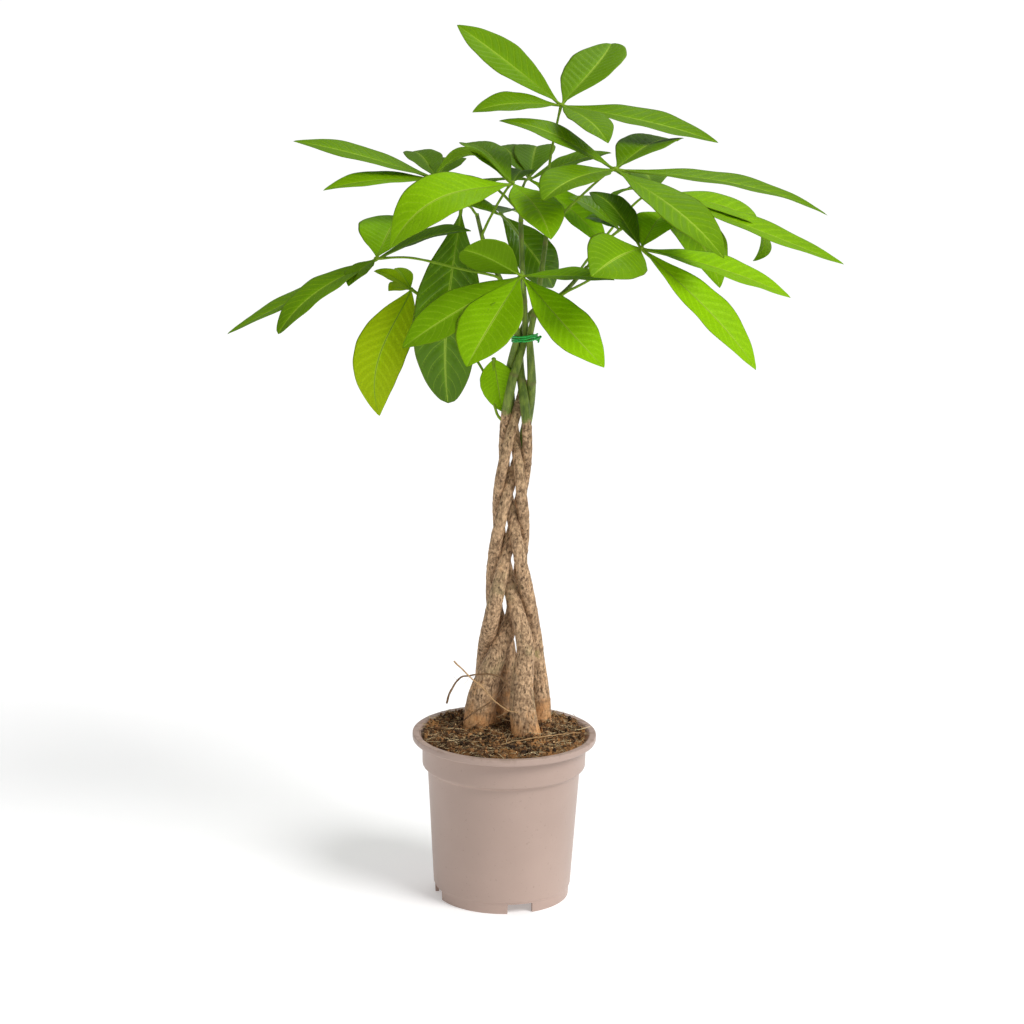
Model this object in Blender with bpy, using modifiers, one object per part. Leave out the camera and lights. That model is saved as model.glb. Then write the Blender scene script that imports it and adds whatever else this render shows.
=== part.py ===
"""A potted money tree: five plaited stems in a plastic nursery pot, with a crown of palmate leaves.

Lengths are metres with +Z up. The pot's axis is the parent empty's own Z axis, with the floor
at z = 0. The empty is moved at the end, so that the origin is under the middle of the plant's box.
"""

import math
from collections import namedtuple

import bmesh
import bpy
import numpy as np
from mathutils import Vector

NAME = "potted_money_tree"
MM = 0.001
GAP = 0.0003

# Pot, as radius and height in mm.
POT_HEIGHT = 174.0
RIM_RADIUS = 95.0
RIM_INNER = 88.5
RIM_DEPTH = 7.0
BAND_RADIUS = 84.8
BAND_BOTTOM = 141.0
BODY_TOP_RADIUS = 78.8
BODY_TOP = 136.0
BODY_FOOT_RADIUS = 71.2
FOOT_HEIGHT = 10.5
FOOT_RADIUS = 69.8
FOOT_WIDTH = 4.2
FLOOR_UNDERSIDE = 11.8
FLOOR_TOP = 14.0
WALL = 1.8
NOTCH_WIDTH = 26.5
NOTCH_BEARING = -73.6
NOTCHES = 4
DRAIN_HOLES = 8
DRAIN_RADIUS = 4.0
DRAIN_CIRCLE = 42.0
TURNS_STEPS = 40

# Soil, in mm.
SOIL_TOP = 172.0
SOIL_EDGE = 169.3

# Plait: heights in metres, and the rest in mm, from the soil up. BRAID_REACH is how far a stem
# swings to each side of the plait's middle. BRAID_MIDDLE and BRAID_BACK place that middle right of
# the pot's axis and behind it. BRAID_TURNS counts the stems that have reached the left side so far,
# from the first crossing below the tie.
STEMS = 5
BRAID_HEIGHT = (0.110, 0.219, 0.262, 0.309, 0.360, 0.430, 0.500, 0.550, 0.590)
BRAID_TURNS = (3.2, 3.2, 3.0, 2.5, 1.97, 0.96, -0.01, -0.73, -1.3)
BRAID_REACH = (25.5, 25.5, 24.5, 20.0, 15.0, 13.0, 12.3, 11.8, 8.2)
BRAID_MIDDLE = (6.0, 6.0, 6.0, 3.0, 1.5, 3.0, 7.5, 10.0, 14.0)
BRAID_BACK = (10.0, 9.0, 8.0, 4.0, 2.0, 0.0, 0.0, 0.0, 0.0)
STEM_RADIUS = (8.8, 8.8, 8.2, 6.7, 5.4, 4.6, 4.4, 4.1, 3.0)
BRAID_DEPTH = 0.85
PLAIT_TOP = 0.590

# Below FEET_START the stems leave the plait, and by FEET_END each stands over its own foot: how far
# right of the pot's axis, how far behind it, and the radius, in mm, then how far it leans left for
# each mm that it rises.
FEET_START = 0.300
FEET_END = 0.195
FEET = {
    1: (37, 21, 10.0, 0),
    2: (24, -21, 13.5, 0.18),
    3: (3, 33, 12.8, 0),
    4: (-22.5, 41, 9.5, 0),
    5: (-27.5, 6, 15.5, -0.08),
}
STEM_FOOT = 0.115
STEM_RINGS = 22
PRUNED_STEM = 2
PRUNED_TOP = 0.541

# The shoots above the tie carry four of the stems on, from the tie to their growing tips.
SHOOTS = {
    1: ((0.013, 0.002, 0.620), (0.010, 0.004, 0.660), (0.008, 0.010, 0.700), (0.008, 0.016, 0.735)),
    3: ((0.024, -0.004, 0.620), (0.030, 0.004, 0.660), (0.034, 0.014, 0.700), (0.035, 0.024, 0.745)),
    4: ((0.020, 0.014, 0.611), (0.036, 0.019, 0.621), (0.053, 0.022, 0.632), (0.075, 0.024, 0.657)),
    5: ((0.001, -0.005, 0.620), (-0.012, -0.002, 0.648), (-0.026, 0.0, 0.675), (-0.036, 0.002, 0.711)),
}
SHOOT_TIP_RADIUS = 2.0

TIE_HEIGHT = 0.588
TIE_RADIUS = 13.6
TIE_THICKNESS = 1.5

# Fine roots that lie loose at the foot of the stems.
ROOTS = {
    "root_long": (
        (-0.052, -0.040, 0.261), (-0.039, -0.041, 0.248), (-0.022, -0.042, 0.233),
        (-0.011, -0.042, 0.220), (0.002, -0.042, 0.211), (0.014, -0.040, 0.207),
    ),
    "root_dark": (
        (-0.059, -0.034, 0.215), (-0.055, -0.034, 0.229), (-0.046, -0.034, 0.241),
        (-0.034, -0.036, 0.245), (-0.011, -0.036, 0.246), (-0.001, -0.034, 0.236),
        (-0.010, -0.036, 0.221), (-0.030, -0.038, 0.207), (-0.049, -0.028, 0.188), (-0.056, -0.020, 0.176),
    ),
    "root_surface": (
        (-0.006, -0.050, 0.1755), (0.010, -0.048, 0.179), (0.026, -0.046, 0.182),
        (0.045, -0.036, 0.182), (0.064, -0.021, 0.180), (0.078, -0.006, 0.176),
    ),
}
ROOT_RADIUS = 0.8

# Leaves. bearing is degrees from +X towards +Y, rise is degrees above level, both of the straight
# line from the leaf stalk's end to the leaflet's tip. length, width and arch are mm, where arch is
# how far the blade stands off that line at its highest. lean tips the upper face to the front, roll
# turns the blade about its own line, sweep bows it sideways and hook pulls its tip back under it.
Leaflet = namedtuple("Leaflet", "bearing rise length width arch lean roll sweep hook", defaults=(0, 0, 0))
Leaf = namedtuple("Leaf", "stalk leaflets color")

MID_GREEN = (0.10, 0.30, 0.01)
FRESH_GREEN = (0.24, 0.50, 0.01)
DARK_GREEN = (0.05, 0.17, 0.01)
YELLOW_GREEN = (0.42, 0.60, 0.01)

LEAVES = {
    "leaf_top": Leaf(
        ((0.035, 0.0245, 0.7465), (0.036, 0.027, 0.765), (0.041, 0.029, 0.795), (0.046, 0.030, 0.819)),
        (
            Leaflet(159, 33, 135, 46, 1, 30),
            Leaflet(-164, -4, 92, 36, 6, 26),
            Leaflet(65, 23, 132, 60, 4, 0, 0, 7),
            Leaflet(4, -13, 163, 46, 4, 20),
            Leaflet(-62, -16, 100, 43, 6, 0),
        ),
        MID_GREEN,
    ),
    "leaf_upper_right": Leaf(
        ((0.0395, 0.0095, 0.702), (0.060, 0.000, 0.725), (0.085, -0.019, 0.752), (0.099, -0.030, 0.764)),
        (
            Leaflet(165, 19, 126, 42, 9, 14),
            Leaflet(58, 7, 125, 62, 9, 0),
            Leaflet(5, -12, 218, 50, 11, 10),
            Leaflet(-130, -11, 113, 60, 8, 12),
            Leaflet(-41, -28, 156, 58, 8, 10),
        ),
        MID_GREEN,
    ),
    "leaf_lower_right": Leaf(
        ((0.0570, 0.0160, 0.634), (0.080, -0.012, 0.652), (0.108, -0.055, 0.682), (0.125, -0.080, 0.694)),
        (
            Leaflet(130, 30, 90, 40, 8, 0),
            Leaflet(-122, -10, 96, 64, 8, 0, -35),
            Leaflet(-15, -44, 163, 52, 7, 20),
            Leaflet(15, -19, 165, 50, 5, 19),
            Leaflet(65, 21, 71, 50, 6, 0),
        ),
        FRESH_GREEN,
    ),
    "leaf_back_right": Leaf(
        ((0.0775, 0.0260, 0.660), (0.095, 0.040, 0.688), (0.122, 0.050, 0.718), (0.142, 0.050, 0.733)),
        (
            Leaflet(6, -21, 212, 50, 0, 16),
            Leaflet(32, -33, 188, 54, 34, 22, 0, 0, 38),
            Leaflet(-145, -7, 53, 40, 6, -20),
            Leaflet(-43, -45, 126, 56, 14, 15),
            Leaflet(95, -8, 122, 50, 16, 0),
        ),
        MID_GREEN,
    ),
    "leaf_inner_right": Leaf(
        ((0.0700, 0.0180, 0.6580), (0.085, 0.014, 0.678), (0.107, 0.010, 0.698)),
        (
            Leaflet(169, 29, 61, 40, 4, 10),
            Leaflet(150, 11, 41, 34, 4, 10),
            Leaflet(-32, 11, 29, 30, 3, 0),
        ),
        DARK_GREEN,
    ),
    "leaf_centre": Leaf(
        ((-0.030, -0.005, 0.693), (-0.020, -0.011, 0.716), (-0.008, -0.018, 0.738), (-0.001, -0.020, 0.747)),
        (
            Leaflet(-157, -25, 142, 62, 30, 33),
            Leaflet(162, 2, 81, 32, 25, -25),
            Leaflet(127, 18, 92, 46, 10, 0),
            Leaflet(-63, -28, 95, 54, 8, 0),
            Leaflet(76, 4, 52, 30, 5, 0),
        ),
        FRESH_GREEN,
    ),
    "leaf_back_left": Leaf(
        ((0.0040, 0.0160, 0.7150), (-0.025, 0.040, 0.738), (-0.058, 0.062, 0.743), (-0.078, 0.070, 0.738)),
        (
            Leaflet(176, 13, 151, 44, 3, 12),
            Leaflet(-165, -5, 118, 40, 5, 14),
            Leaflet(111, 12, 82, 40, 6, 0),
            Leaflet(75, 9, 68, 40, 6, 0),
        ),
        MID_GREEN,
    ),
    "leaf_far_left": Leaf(
        ((-0.017, -0.005, 0.651), (-0.050, -0.014, 0.659), (-0.100, -0.006, 0.668), (-0.136, 0.000, 0.666)),
        (
            Leaflet(180, -28, 169, 44, 1, 8),
            Leaflet(-152, -33, 127, 46, 11, 8),
            Leaflet(-131, -31, 46, 30, 4, 0),
            Leaflet(78, 15, 108, 66, 6, 0),
            Leaflet(-8, 18, 101, 44, 6, 10),
        ),
        MID_GREEN,
    ),
    "leaf_front": Leaf(
        ((0.0110, -0.0020, 0.6400), (0.011, -0.030, 0.657), (0.009, -0.055, 0.664), (0.009, -0.070, 0.663)),
        (
            Leaflet(-138, 23, 82, 54, 4, 0, 45),
            Leaflet(-165, -30, 137, 52, 4, 35),
            Leaflet(-126, -42, 117, 64, 2, 20),
            Leaflet(-29, -41, 124, 60, -2, 20),
            Leaflet(-18, 1, 95, 42, 2, 10),
        ),
        FRESH_GREEN,
    ),
    "leaf_hanging": Leaf(
        ((-0.0380, 0.0030, 0.7130), (-0.044, 0.008, 0.719), (-0.052, 0.010, 0.717)),
        (Leaflet(-139, -86, 198, 66, 6, 80, 0, 7),),
        DARK_GREEN,
    ),
    "leaf_yellow": Leaf(
        ((-0.0205, 0.0055, 0.5385), (-0.035, 0.018, 0.562), (-0.070, 0.035, 0.605), (-0.102, 0.040, 0.629)),
        (
            Leaflet(-162, -76, 134, 54, 14, 70, 0, 10),
            Leaflet(166, 22, 43, 24, 4, 20),
            Leaflet(119, 26, 38, 20, 3, 10),
            Leaflet(-138, 2, 30, 22, 3, 20),
        ),
        YELLOW_GREEN,
    ),
    "leaf_back_centre": Leaf(
        ((0.0090, 0.0180, 0.7370), (0.012, 0.040, 0.741), (0.016, 0.060, 0.741)),
        (
            Leaflet(-11, -40, 104, 44, 6, 20),
            Leaflet(14, 16, 89, 38, 4, 10),
            Leaflet(85, 11, 100, 44, 10, 0),
            Leaflet(111, 9, 110, 42, 10, 0),
            Leaflet(136, -20, 91, 44, 10, 0),
        ),
        MID_GREEN,
    ),
    "leaf_inner_back": Leaf(
        ((0.0060, 0.0150, 0.6900), (-0.004, 0.035, 0.700), (-0.013, 0.050, 0.706)),
        (
            Leaflet(10, -54, 95, 44, 14, 60),
            Leaflet(136, -7, 87, 44, 10, 0),
            Leaflet(76, -7, 73, 40, 4, 0),
        ),
        DARK_GREEN,
    ),
    "shoot_low": Leaf(
        ((-0.0130, -0.0030, 0.5110), (-0.0180, -0.001, 0.535), (-0.017, 0.000, 0.566)),
        (Leaflet(0, -80, 51, 33, 2, 85),),
        YELLOW_GREEN,
    ),
}
STALK_RADIUS = 1.3
KNUCKLE_RADIUS = 2.4
BLADE_THICKNESS = 1.0
BLADE_ALONG = 7
BLADE_ACROSS = 2
BLADE_FOLD = 11
BLADE_TIP = 0.6
BLADE_WIDEST = 1.15
BOW = 5.38


def clear_scene():
    for obj in list(bpy.data.objects):
        bpy.data.objects.remove(obj, do_unlink=True)


def new_collection(name):
    collection = bpy.data.collections.new(name)
    bpy.context.scene.collection.children.link(collection)
    return collection


def new_object(name, data, collection, parent):
    obj = bpy.data.objects.new(name, data)
    collection.objects.link(obj)
    obj.parent = parent
    return obj


def as_helper(obj):
    obj.hide_render = True
    obj.display_type = "WIRE"


def add_material(obj, color, roughness):
    material = bpy.data.materials.new(obj.name)
    material.use_nodes = True
    shader = material.node_tree.nodes["Principled BSDF"]
    shader.inputs["Base Color"].default_value = (*color, 1.0)
    shader.inputs["Roughness"].default_value = roughness
    shader.inputs["Metallic"].default_value = 0.0
    obj.data.materials.append(material)


def turned(name, profile, collection, parent):
    """A body of revolution from (radius, height) points in mm that run down its outer side."""
    mesh = bpy.data.meshes.new(name)
    points = [(radius * MM, 0.0, height * MM) for radius, height in profile]
    mesh.from_pydata(points, [(i, i + 1) for i in range(len(points) - 1)], [])
    obj = new_object(name, mesh, collection, parent)
    screw = obj.modifiers.new("Screw", "SCREW")
    screw.axis = "Z"
    screw.angle = math.tau
    screw.steps = TURNS_STEPS
    screw.render_steps = TURNS_STEPS
    screw.use_merge_vertices = True
    screw.merge_threshold = 0.00005
    screw.use_smooth_shade = True
    return obj


def tube(name, points, radii, collection, parent, cyclic=False, roundness=2):
    """A round tube through the points, with a radius in mm at each."""
    curve = bpy.data.curves.new(name, "CURVE")
    curve.dimensions = "3D"
    curve.bevel_depth = MM
    curve.bevel_resolution = roundness
    curve.use_fill_caps = not cyclic
    spline = curve.splines.new("POLY")
    spline.points.add(len(points) - 1)
    spline.use_cyclic_u = cyclic
    for place, point, radius in zip(spline.points, points, radii):
        place.co = (*point, 1.0)
        place.radius = radius
    return new_object(name, curve, collection, parent)


def smooth_route(points, count):
    """count points, evenly spaced, on a Catmull-Rom curve through the route's own points."""
    route = [Vector(p) for p in points]
    route = [2 * route[0] - route[1], *route, 2 * route[-1] - route[-2]]
    spans = len(route) - 3
    smooth = []
    for step in range(count):
        place = spans * step / (count - 1)
        first = min(int(place), spans - 1)
        t = place - first
        a, b, c, d = route[first : first + 4]
        smooth.append(
            0.5 * (2 * b + (c - a) * t + (2 * a - 5 * b + 4 * c - d) * t**2 + (3 * b - a - 3 * c + d) * t**3)
        )
    return smooth


def to_mesh(obj):
    """The curve object made a mesh of the same name, so that a Boolean can use it."""
    bpy.context.view_layer.update()
    graph = bpy.context.evaluated_depsgraph_get()
    mesh = bpy.data.meshes.new_from_object(obj.evaluated_get(graph))
    shape = bmesh.new()
    shape.from_mesh(mesh)
    bmesh.ops.remove_doubles(shape, verts=shape.verts, dist=0.00001)
    shape.to_mesh(mesh)
    shape.free()
    name, parent, collection = obj.name, obj.parent, obj.users_collection[0]
    bpy.data.objects.remove(obj, do_unlink=True)
    return new_object(name, mesh, collection, parent)


def cut(obj, cutters):
    modifier = obj.modifiers.new("Cut", "BOOLEAN")
    modifier.operation = "DIFFERENCE"
    modifier.operand_type = "COLLECTION"
    modifier.collection = cutters


def make_pot(parts, helpers, parent):
    inner_foot = BODY_FOOT_RADIUS - WALL - 0.9
    profile = [
        (0, FLOOR_TOP),
        (inner_foot, FLOOR_TOP),
        (BODY_TOP_RADIUS - WALL, BODY_TOP + 0.8),
        (BAND_RADIUS - WALL - 0.6, BAND_BOTTOM + 2),
        (BAND_RADIUS - WALL, POT_HEIGHT - 8),
        (BAND_RADIUS - WALL + 2.6, POT_HEIGHT - 3.5),
        (RIM_INNER - 0.8, POT_HEIGHT - 0.5),
        (RIM_INNER, POT_HEIGHT),
        (RIM_RADIUS - 1.5, POT_HEIGHT),
        (RIM_RADIUS, POT_HEIGHT - 1.4),
        (RIM_RADIUS, POT_HEIGHT - RIM_DEPTH + 1),
        (RIM_RADIUS - 1, POT_HEIGHT - RIM_DEPTH),
        (BAND_RADIUS, POT_HEIGHT - RIM_DEPTH),
        (BAND_RADIUS - 0.5, BAND_BOTTOM),
        (BAND_RADIUS - 1.5, BAND_BOTTOM - 1.6),
        (BODY_TOP_RADIUS, BODY_TOP),
        (BODY_FOOT_RADIUS, FOOT_HEIGHT + 2),
        (FOOT_RADIUS + 0.4, FOOT_HEIGHT + 1.4),
        (FOOT_RADIUS + 0.4, FOOT_HEIGHT + 0.4),
        (FOOT_RADIUS, FOOT_HEIGHT - 0.2),
        (FOOT_RADIUS - 0.2, 0.8),
        (FOOT_RADIUS - 0.8, 0),
        (FOOT_RADIUS - FOOT_WIDTH, 0),
        (FOOT_RADIUS - FOOT_WIDTH, FLOOR_UNDERSIDE - 2),
        (FOOT_RADIUS - FOOT_WIDTH - 1.6, FLOOR_UNDERSIDE),
        (0, FLOOR_UNDERSIDE),
    ]
    pot = turned("pot", profile, parts, parent)
    cutters = bpy.data.collections.new("pot_cutters")
    helpers.children.link(cutters)
    for i in range(NOTCHES):
        bearing = math.radians(NOTCH_BEARING + i * 360 / NOTCHES)
        bpy.ops.mesh.primitive_cube_add(size=1)
        notch = bpy.context.object
        notch.name = f"foot_notch_{i + 1}"
        notch.scale = (0.016, NOTCH_WIDTH * MM, (FOOT_HEIGHT + 5) * MM)
        notch.rotation_euler.z = bearing
        reach = (FOOT_RADIUS - FOOT_WIDTH / 2) * MM
        notch.location = (reach * math.cos(bearing), reach * math.sin(bearing), (FOOT_HEIGHT - 5.2) * MM / 2)
        adopt(notch, cutters, parent)
    for i in range(DRAIN_HOLES):
        bearing = math.tau * (i + 0.5) / DRAIN_HOLES
        bpy.ops.mesh.primitive_cylinder_add(vertices=16, radius=DRAIN_RADIUS * MM, depth=0.012)
        hole = bpy.context.object
        hole.name = f"drain_hole_{i + 1}"
        reach = DRAIN_CIRCLE * MM
        hole.location = (reach * math.cos(bearing), reach * math.sin(bearing), FLOOR_TOP * MM)
        adopt(hole, cutters, parent)
    cut(pot, cutters)
    add_material(pot, (0.50, 0.38, 0.33), 0.45)


def adopt(obj, collection, parent):
    """Moves an object made by an operator into a helper collection."""
    for old in list(obj.users_collection):
        old.objects.unlink(obj)
    collection.objects.link(obj)
    obj.parent = parent
    as_helper(obj)


def along_plait(values, height):
    return float(np.interp(height, BRAID_HEIGHT, values))


def stem_axis(number, height):
    """The middle of a stem in the plait, which swings side to side in a flat figure of eight."""
    swing = math.radians(270 + 360 / STEMS * (along_plait(BRAID_TURNS, height) - (number - 1)))
    reach = along_plait(BRAID_REACH, height) * MM
    middle = along_plait(BRAID_MIDDLE, height) * MM
    back = along_plait(BRAID_BACK, height) * MM
    depth = back - BRAID_DEPTH * reach * math.sin(2 * swing)
    in_plait = Vector((middle + reach * math.sin(swing), depth, height))
    right, behind, _, lean = FEET[number]
    over_foot = Vector((right * MM - lean * (height - SOIL_TOP * MM), behind * MM, height))
    return in_plait.lerp(over_foot, settled(height))


def settled(height):
    """0 in the plait and 1 over the stem's own foot."""
    part = min(max((FEET_START - height) / (FEET_START - FEET_END), 0), 1)
    return part * part * (3 - 2 * part)


def stem_radius(number, height):
    in_plait = along_plait(STEM_RADIUS, height)
    return in_plait + (FEET[number][2] - in_plait) * settled(height) ** 2


def stem_route(number):
    """The points and radii of one stem, from its foot in the soil to its top."""
    top = PRUNED_TOP if number == PRUNED_STEM else PLAIT_TOP
    heights = [STEM_FOOT + (top - STEM_FOOT) * i / (STEM_RINGS - 1) for i in range(STEM_RINGS)]
    points = [stem_axis(number, height) for height in heights]
    radii = [stem_radius(number, height) for height in heights]
    if number in SHOOTS:
        rings = 3 * len(SHOOTS[number])
        shoot = smooth_route((points[-1], *SHOOTS[number]), rings)[1:]
        points += shoot
        step = (radii[-1] - SHOOT_TIP_RADIUS) / len(shoot)
        radii += [radii[-1] - step * (i + 1) for i in range(len(shoot))]
    return points, radii


def make_stems(parts, parent):
    for number in range(1, STEMS + 1):
        points, radii = stem_route(number)
        stem = tube(f"stem_{number}", points, radii, parts, parent)
        add_material(stem, (0.30, 0.22, 0.13), 0.8)


def make_soil(parts, helpers, parent):
    """The compost, which fills the pot and is open round each stem's foot."""
    clear = GAP / MM
    profile = [
        (0, SOIL_TOP),
        (60, SOIL_TOP - 0.5),
        (76, SOIL_TOP - 1.2),
        (BAND_RADIUS - WALL + 1.2, SOIL_EDGE),
        (BAND_RADIUS - WALL - 0.6, POT_HEIGHT - 8.4),
        (BAND_RADIUS - WALL - 1.2, BAND_BOTTOM + 2),
        (BODY_TOP_RADIUS - WALL - 0.5, BODY_TOP + 0.8),
        (BODY_FOOT_RADIUS - WALL - 1.4, FLOOR_TOP + clear),
        (0, FLOOR_TOP + clear),
    ]
    soil = turned("soil", profile, parts, parent)
    cutters = bpy.data.collections.new("soil_cutters")
    helpers.children.link(cutters)
    for number in range(1, STEMS + 1):
        points, radii = stem_route(number)
        below = [i for i, point in enumerate(points) if point.z < 0.20]
        route = [points[0] - Vector((0, 0, clear * MM * 1.5)), *[points[i] for i in below[1:]]]
        wide = [radii[i] + clear * 1.4 for i in below]
        hole = to_mesh(tube(f"stem_socket_{number}", route, wide, cutters, parent))
        as_helper(hole)
    cut(soil, cutters)
    add_material(soil, (0.09, 0.045, 0.02), 0.95)


def make_tie(parts, parent):
    centre = along_plait(BRAID_MIDDLE, TIE_HEIGHT) * MM
    turns = [math.tau * i / 24 for i in range(24)]
    ring = [
        (centre + TIE_RADIUS * MM * math.cos(turn), TIE_RADIUS * MM * math.sin(turn), TIE_HEIGHT)
        for turn in turns
    ]
    tie = tube("tie", ring, [TIE_THICKNESS] * len(ring), parts, parent, cyclic=True)
    add_material(tie, (0.0, 0.40, 0.08), 0.5)


def make_roots(parts, parent):
    for name, route in ROOTS.items():
        points = smooth_route(route, 2 * len(route) - 1)
        root = tube(name, points, [ROOT_RADIUS] * len(points), parts, parent, roundness=1)
        add_material(root, (0.45, 0.28, 0.14), 0.8)


def blade_half_width(t, width):
    """Half a leaflet's width at the fraction t of its length: a slim foot and a drawn-out tip."""
    swell = math.sin(math.pi * t**BLADE_WIDEST) ** 0.85 if 0 < t < 1 else 0.0
    return BLADE_TIP + (width / 2 - BLADE_TIP) * swell * (1 - 0.3 * t**8)


def blade_frame(leaflet):
    """The directions along the leaflet, across it, and out of its upper face."""
    bearing, rise, lean, roll = (math.radians(leaflet[i]) for i in (0, 1, 5, 6))
    along = Vector((math.cos(rise) * math.cos(bearing), math.cos(rise) * math.sin(bearing), math.sin(rise)))
    face = Vector((0, -math.sin(lean), math.cos(lean)))
    face = (face - face.dot(along) * along).normalized()
    face = face * math.cos(roll) + along.cross(face) * math.sin(roll)
    return along, along.cross(face), face


def blade_point(hub, leaflet, t, s):
    """A point of the blade, t of the way along it and s, from -1 to 1, of the way across."""
    along, across, face = blade_frame(leaflet)
    bow = (face * leaflet.arch + across * leaflet.sweep) * BOW
    spine = hub + (along * (leaflet.length * t - leaflet.hook * t**6) + bow * t**1.5 * (1 - t)) * MM
    run = along * (leaflet.length - 6 * leaflet.hook * t**5) + bow * (1.5 * t**0.5 - 2.5 * t**1.5)
    run.normalize()
    half = blade_half_width(t, leaflet.width) * MM
    fold = math.radians(BLADE_FOLD)
    return spine + across * s * half * math.cos(fold) + across.cross(run) * abs(s) * half * math.sin(fold)


def make_blade(name, hub, leaflet, collection, parent):
    """One leaflet: a grid laid along its arched midrib and given its thickness."""
    shape = bmesh.new()
    bmesh.ops.create_grid(shape, x_segments=BLADE_ALONG, y_segments=BLADE_ACROSS, size=1)
    for vertex in shape.verts:
        vertex.co = blade_point(hub, leaflet, (vertex.co.x + 1) / 2, vertex.co.y)
    mesh = bpy.data.meshes.new(name)
    shape.to_mesh(mesh)
    shape.free()
    blade = new_object(name, mesh, collection, parent)
    solidify = blade.modifiers.new("Thickness", "SOLIDIFY")
    solidify.thickness = BLADE_THICKNESS * MM
    solidify.offset = 0
    as_helper(blade)


def make_leaf(name, leaf, parts, helpers, parent):
    """A leaf stalk with its leaflets, joined at the knuckle at the stalk's end."""
    hub = Vector(leaf.stalk[-1])
    route = smooth_route(leaf.stalk, 2 * len(leaf.stalk) - 1)
    stalk = to_mesh(tube(name, route, [STALK_RADIUS] * len(route), parts, parent, roundness=1))
    pieces = bpy.data.collections.new(f"{name}_pieces")
    helpers.children.link(pieces)
    bpy.ops.mesh.primitive_uv_sphere_add(segments=8, ring_count=4, radius=KNUCKLE_RADIUS * MM, location=hub)
    knuckle = bpy.context.object
    knuckle.name = f"{name}_knuckle"
    adopt(knuckle, pieces, parent)
    for number, leaflet in enumerate(leaf.leaflets, 1):
        make_blade(f"{name}_blade_{number}", hub, leaflet, pieces, parent)
    join = stalk.modifiers.new("Join", "BOOLEAN")
    join.operation = "UNION"
    join.operand_type = "COLLECTION"
    join.collection = pieces
    add_material(stalk, leaf.color, 0.4)


def box_of(parts):
    """The lowest and highest corners of everything in the parts collection."""
    bpy.context.view_layer.update()
    graph = bpy.context.evaluated_depsgraph_get()
    corners = []
    for obj in parts.objects:
        evaluated = obj.evaluated_get(graph)
        mesh = evaluated.to_mesh()
        corners += [evaluated.matrix_world @ vertex.co for vertex in mesh.vertices]
        evaluated.to_mesh_clear()
    corners = np.array(corners)
    return corners.min(axis=0), corners.max(axis=0)


def main():
    clear_scene()
    parts = new_collection(NAME)
    helpers = new_collection("cutters_and_blades")
    axis = bpy.data.objects.new("pot_axis", None)
    parts.objects.link(axis)
    make_pot(parts, helpers, axis)
    make_soil(parts, helpers, axis)
    make_stems(parts, axis)
    make_tie(parts, axis)
    make_roots(parts, axis)
    for name, leaf in LEAVES.items():
        make_leaf(name, leaf, parts, helpers, axis)
    parts.objects.unlink(axis)
    low, high = box_of(parts)
    parts.objects.link(axis)
    axis.location = (-(low[0] + high[0]) / 2, -(low[1] + high[1]) / 2, -low[2])


main()
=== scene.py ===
"""Potted money tree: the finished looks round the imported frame.

Five plaited stems stand in a satin plastic nursery pot of rough compost, with palmate leaves
above. Each CAD node is hidden, and a finer piece of the same size stands for it. Lengths are metres
unless a name or a comment says otherwise. Routes and leaf tables are measured from the pot's axis.
"""

import math
import random
from collections import namedtuple
from contextlib import contextmanager

import bpy
import numpy as np
from bpy.props import FloatProperty, FloatVectorProperty, IntProperty, PointerProperty
from mathutils import Matrix, Vector, noise


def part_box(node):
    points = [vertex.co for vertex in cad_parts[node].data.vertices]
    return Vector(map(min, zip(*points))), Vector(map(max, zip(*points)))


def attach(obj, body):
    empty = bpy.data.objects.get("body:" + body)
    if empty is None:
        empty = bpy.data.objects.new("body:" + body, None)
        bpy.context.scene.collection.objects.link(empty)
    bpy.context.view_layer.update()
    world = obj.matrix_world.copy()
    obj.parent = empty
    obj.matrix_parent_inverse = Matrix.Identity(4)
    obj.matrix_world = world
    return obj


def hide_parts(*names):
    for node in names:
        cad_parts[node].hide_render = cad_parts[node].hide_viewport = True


bl_info = {
    "name": "Potted money tree",
    "version": (1, 0, 0),
    "blender": (4, 5, 0),
    "location": "3D View > Sidebar > Money tree",
    "description": "Builds a potted money tree round its packed frame",
    "category": "Add Mesh",
}

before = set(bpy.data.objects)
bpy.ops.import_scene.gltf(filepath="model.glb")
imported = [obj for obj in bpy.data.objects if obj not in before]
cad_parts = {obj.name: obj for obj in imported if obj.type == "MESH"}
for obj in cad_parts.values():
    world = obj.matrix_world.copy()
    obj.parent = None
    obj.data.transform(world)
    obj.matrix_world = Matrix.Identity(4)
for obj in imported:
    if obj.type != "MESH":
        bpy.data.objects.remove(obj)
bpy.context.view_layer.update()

MM = 0.001
POT_LOW, POT_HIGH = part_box("pot")
AXIS = np.array(((POT_LOW.x + POT_HIGH.x) / 2, (POT_LOW.y + POT_HIGH.y) / 2, 0.0))
POT_HEIGHT = POT_HIGH.z
RIM_RADIUS = (POT_HIGH.x - POT_LOW.x) / 2

# Pot, in mm.
WALL = 1.8
BAND_RADIUS = 84.8
BAND_BOTTOM = 141.0
BODY_TOP_RADIUS = 78.8
BODY_TOP = 136.0
BODY_FOOT_RADIUS = 71.2
FOOT_HEIGHT = 10.5
FOOT_RADIUS = 69.8
FOOT_WIDTH = 4.2
FLOOR_TOP = 14.0
FLOOR_UNDERSIDE = 11.8
NOTCHES = 4
NOTCH_BEARING = -73.6
NOTCH_WIDTH = 26.5
NOTCH_REACH = 16.0
NOTCH_LOW = -5.1
NOTCH_HIGH = 10.4
NOTCH_ROUNDING = 0.9
DRAIN_HOLES = 8
DRAIN_RADIUS = 4.0
DRAIN_CIRCLE = 42.0
DRAIN_DEPTH = 12.0

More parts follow.
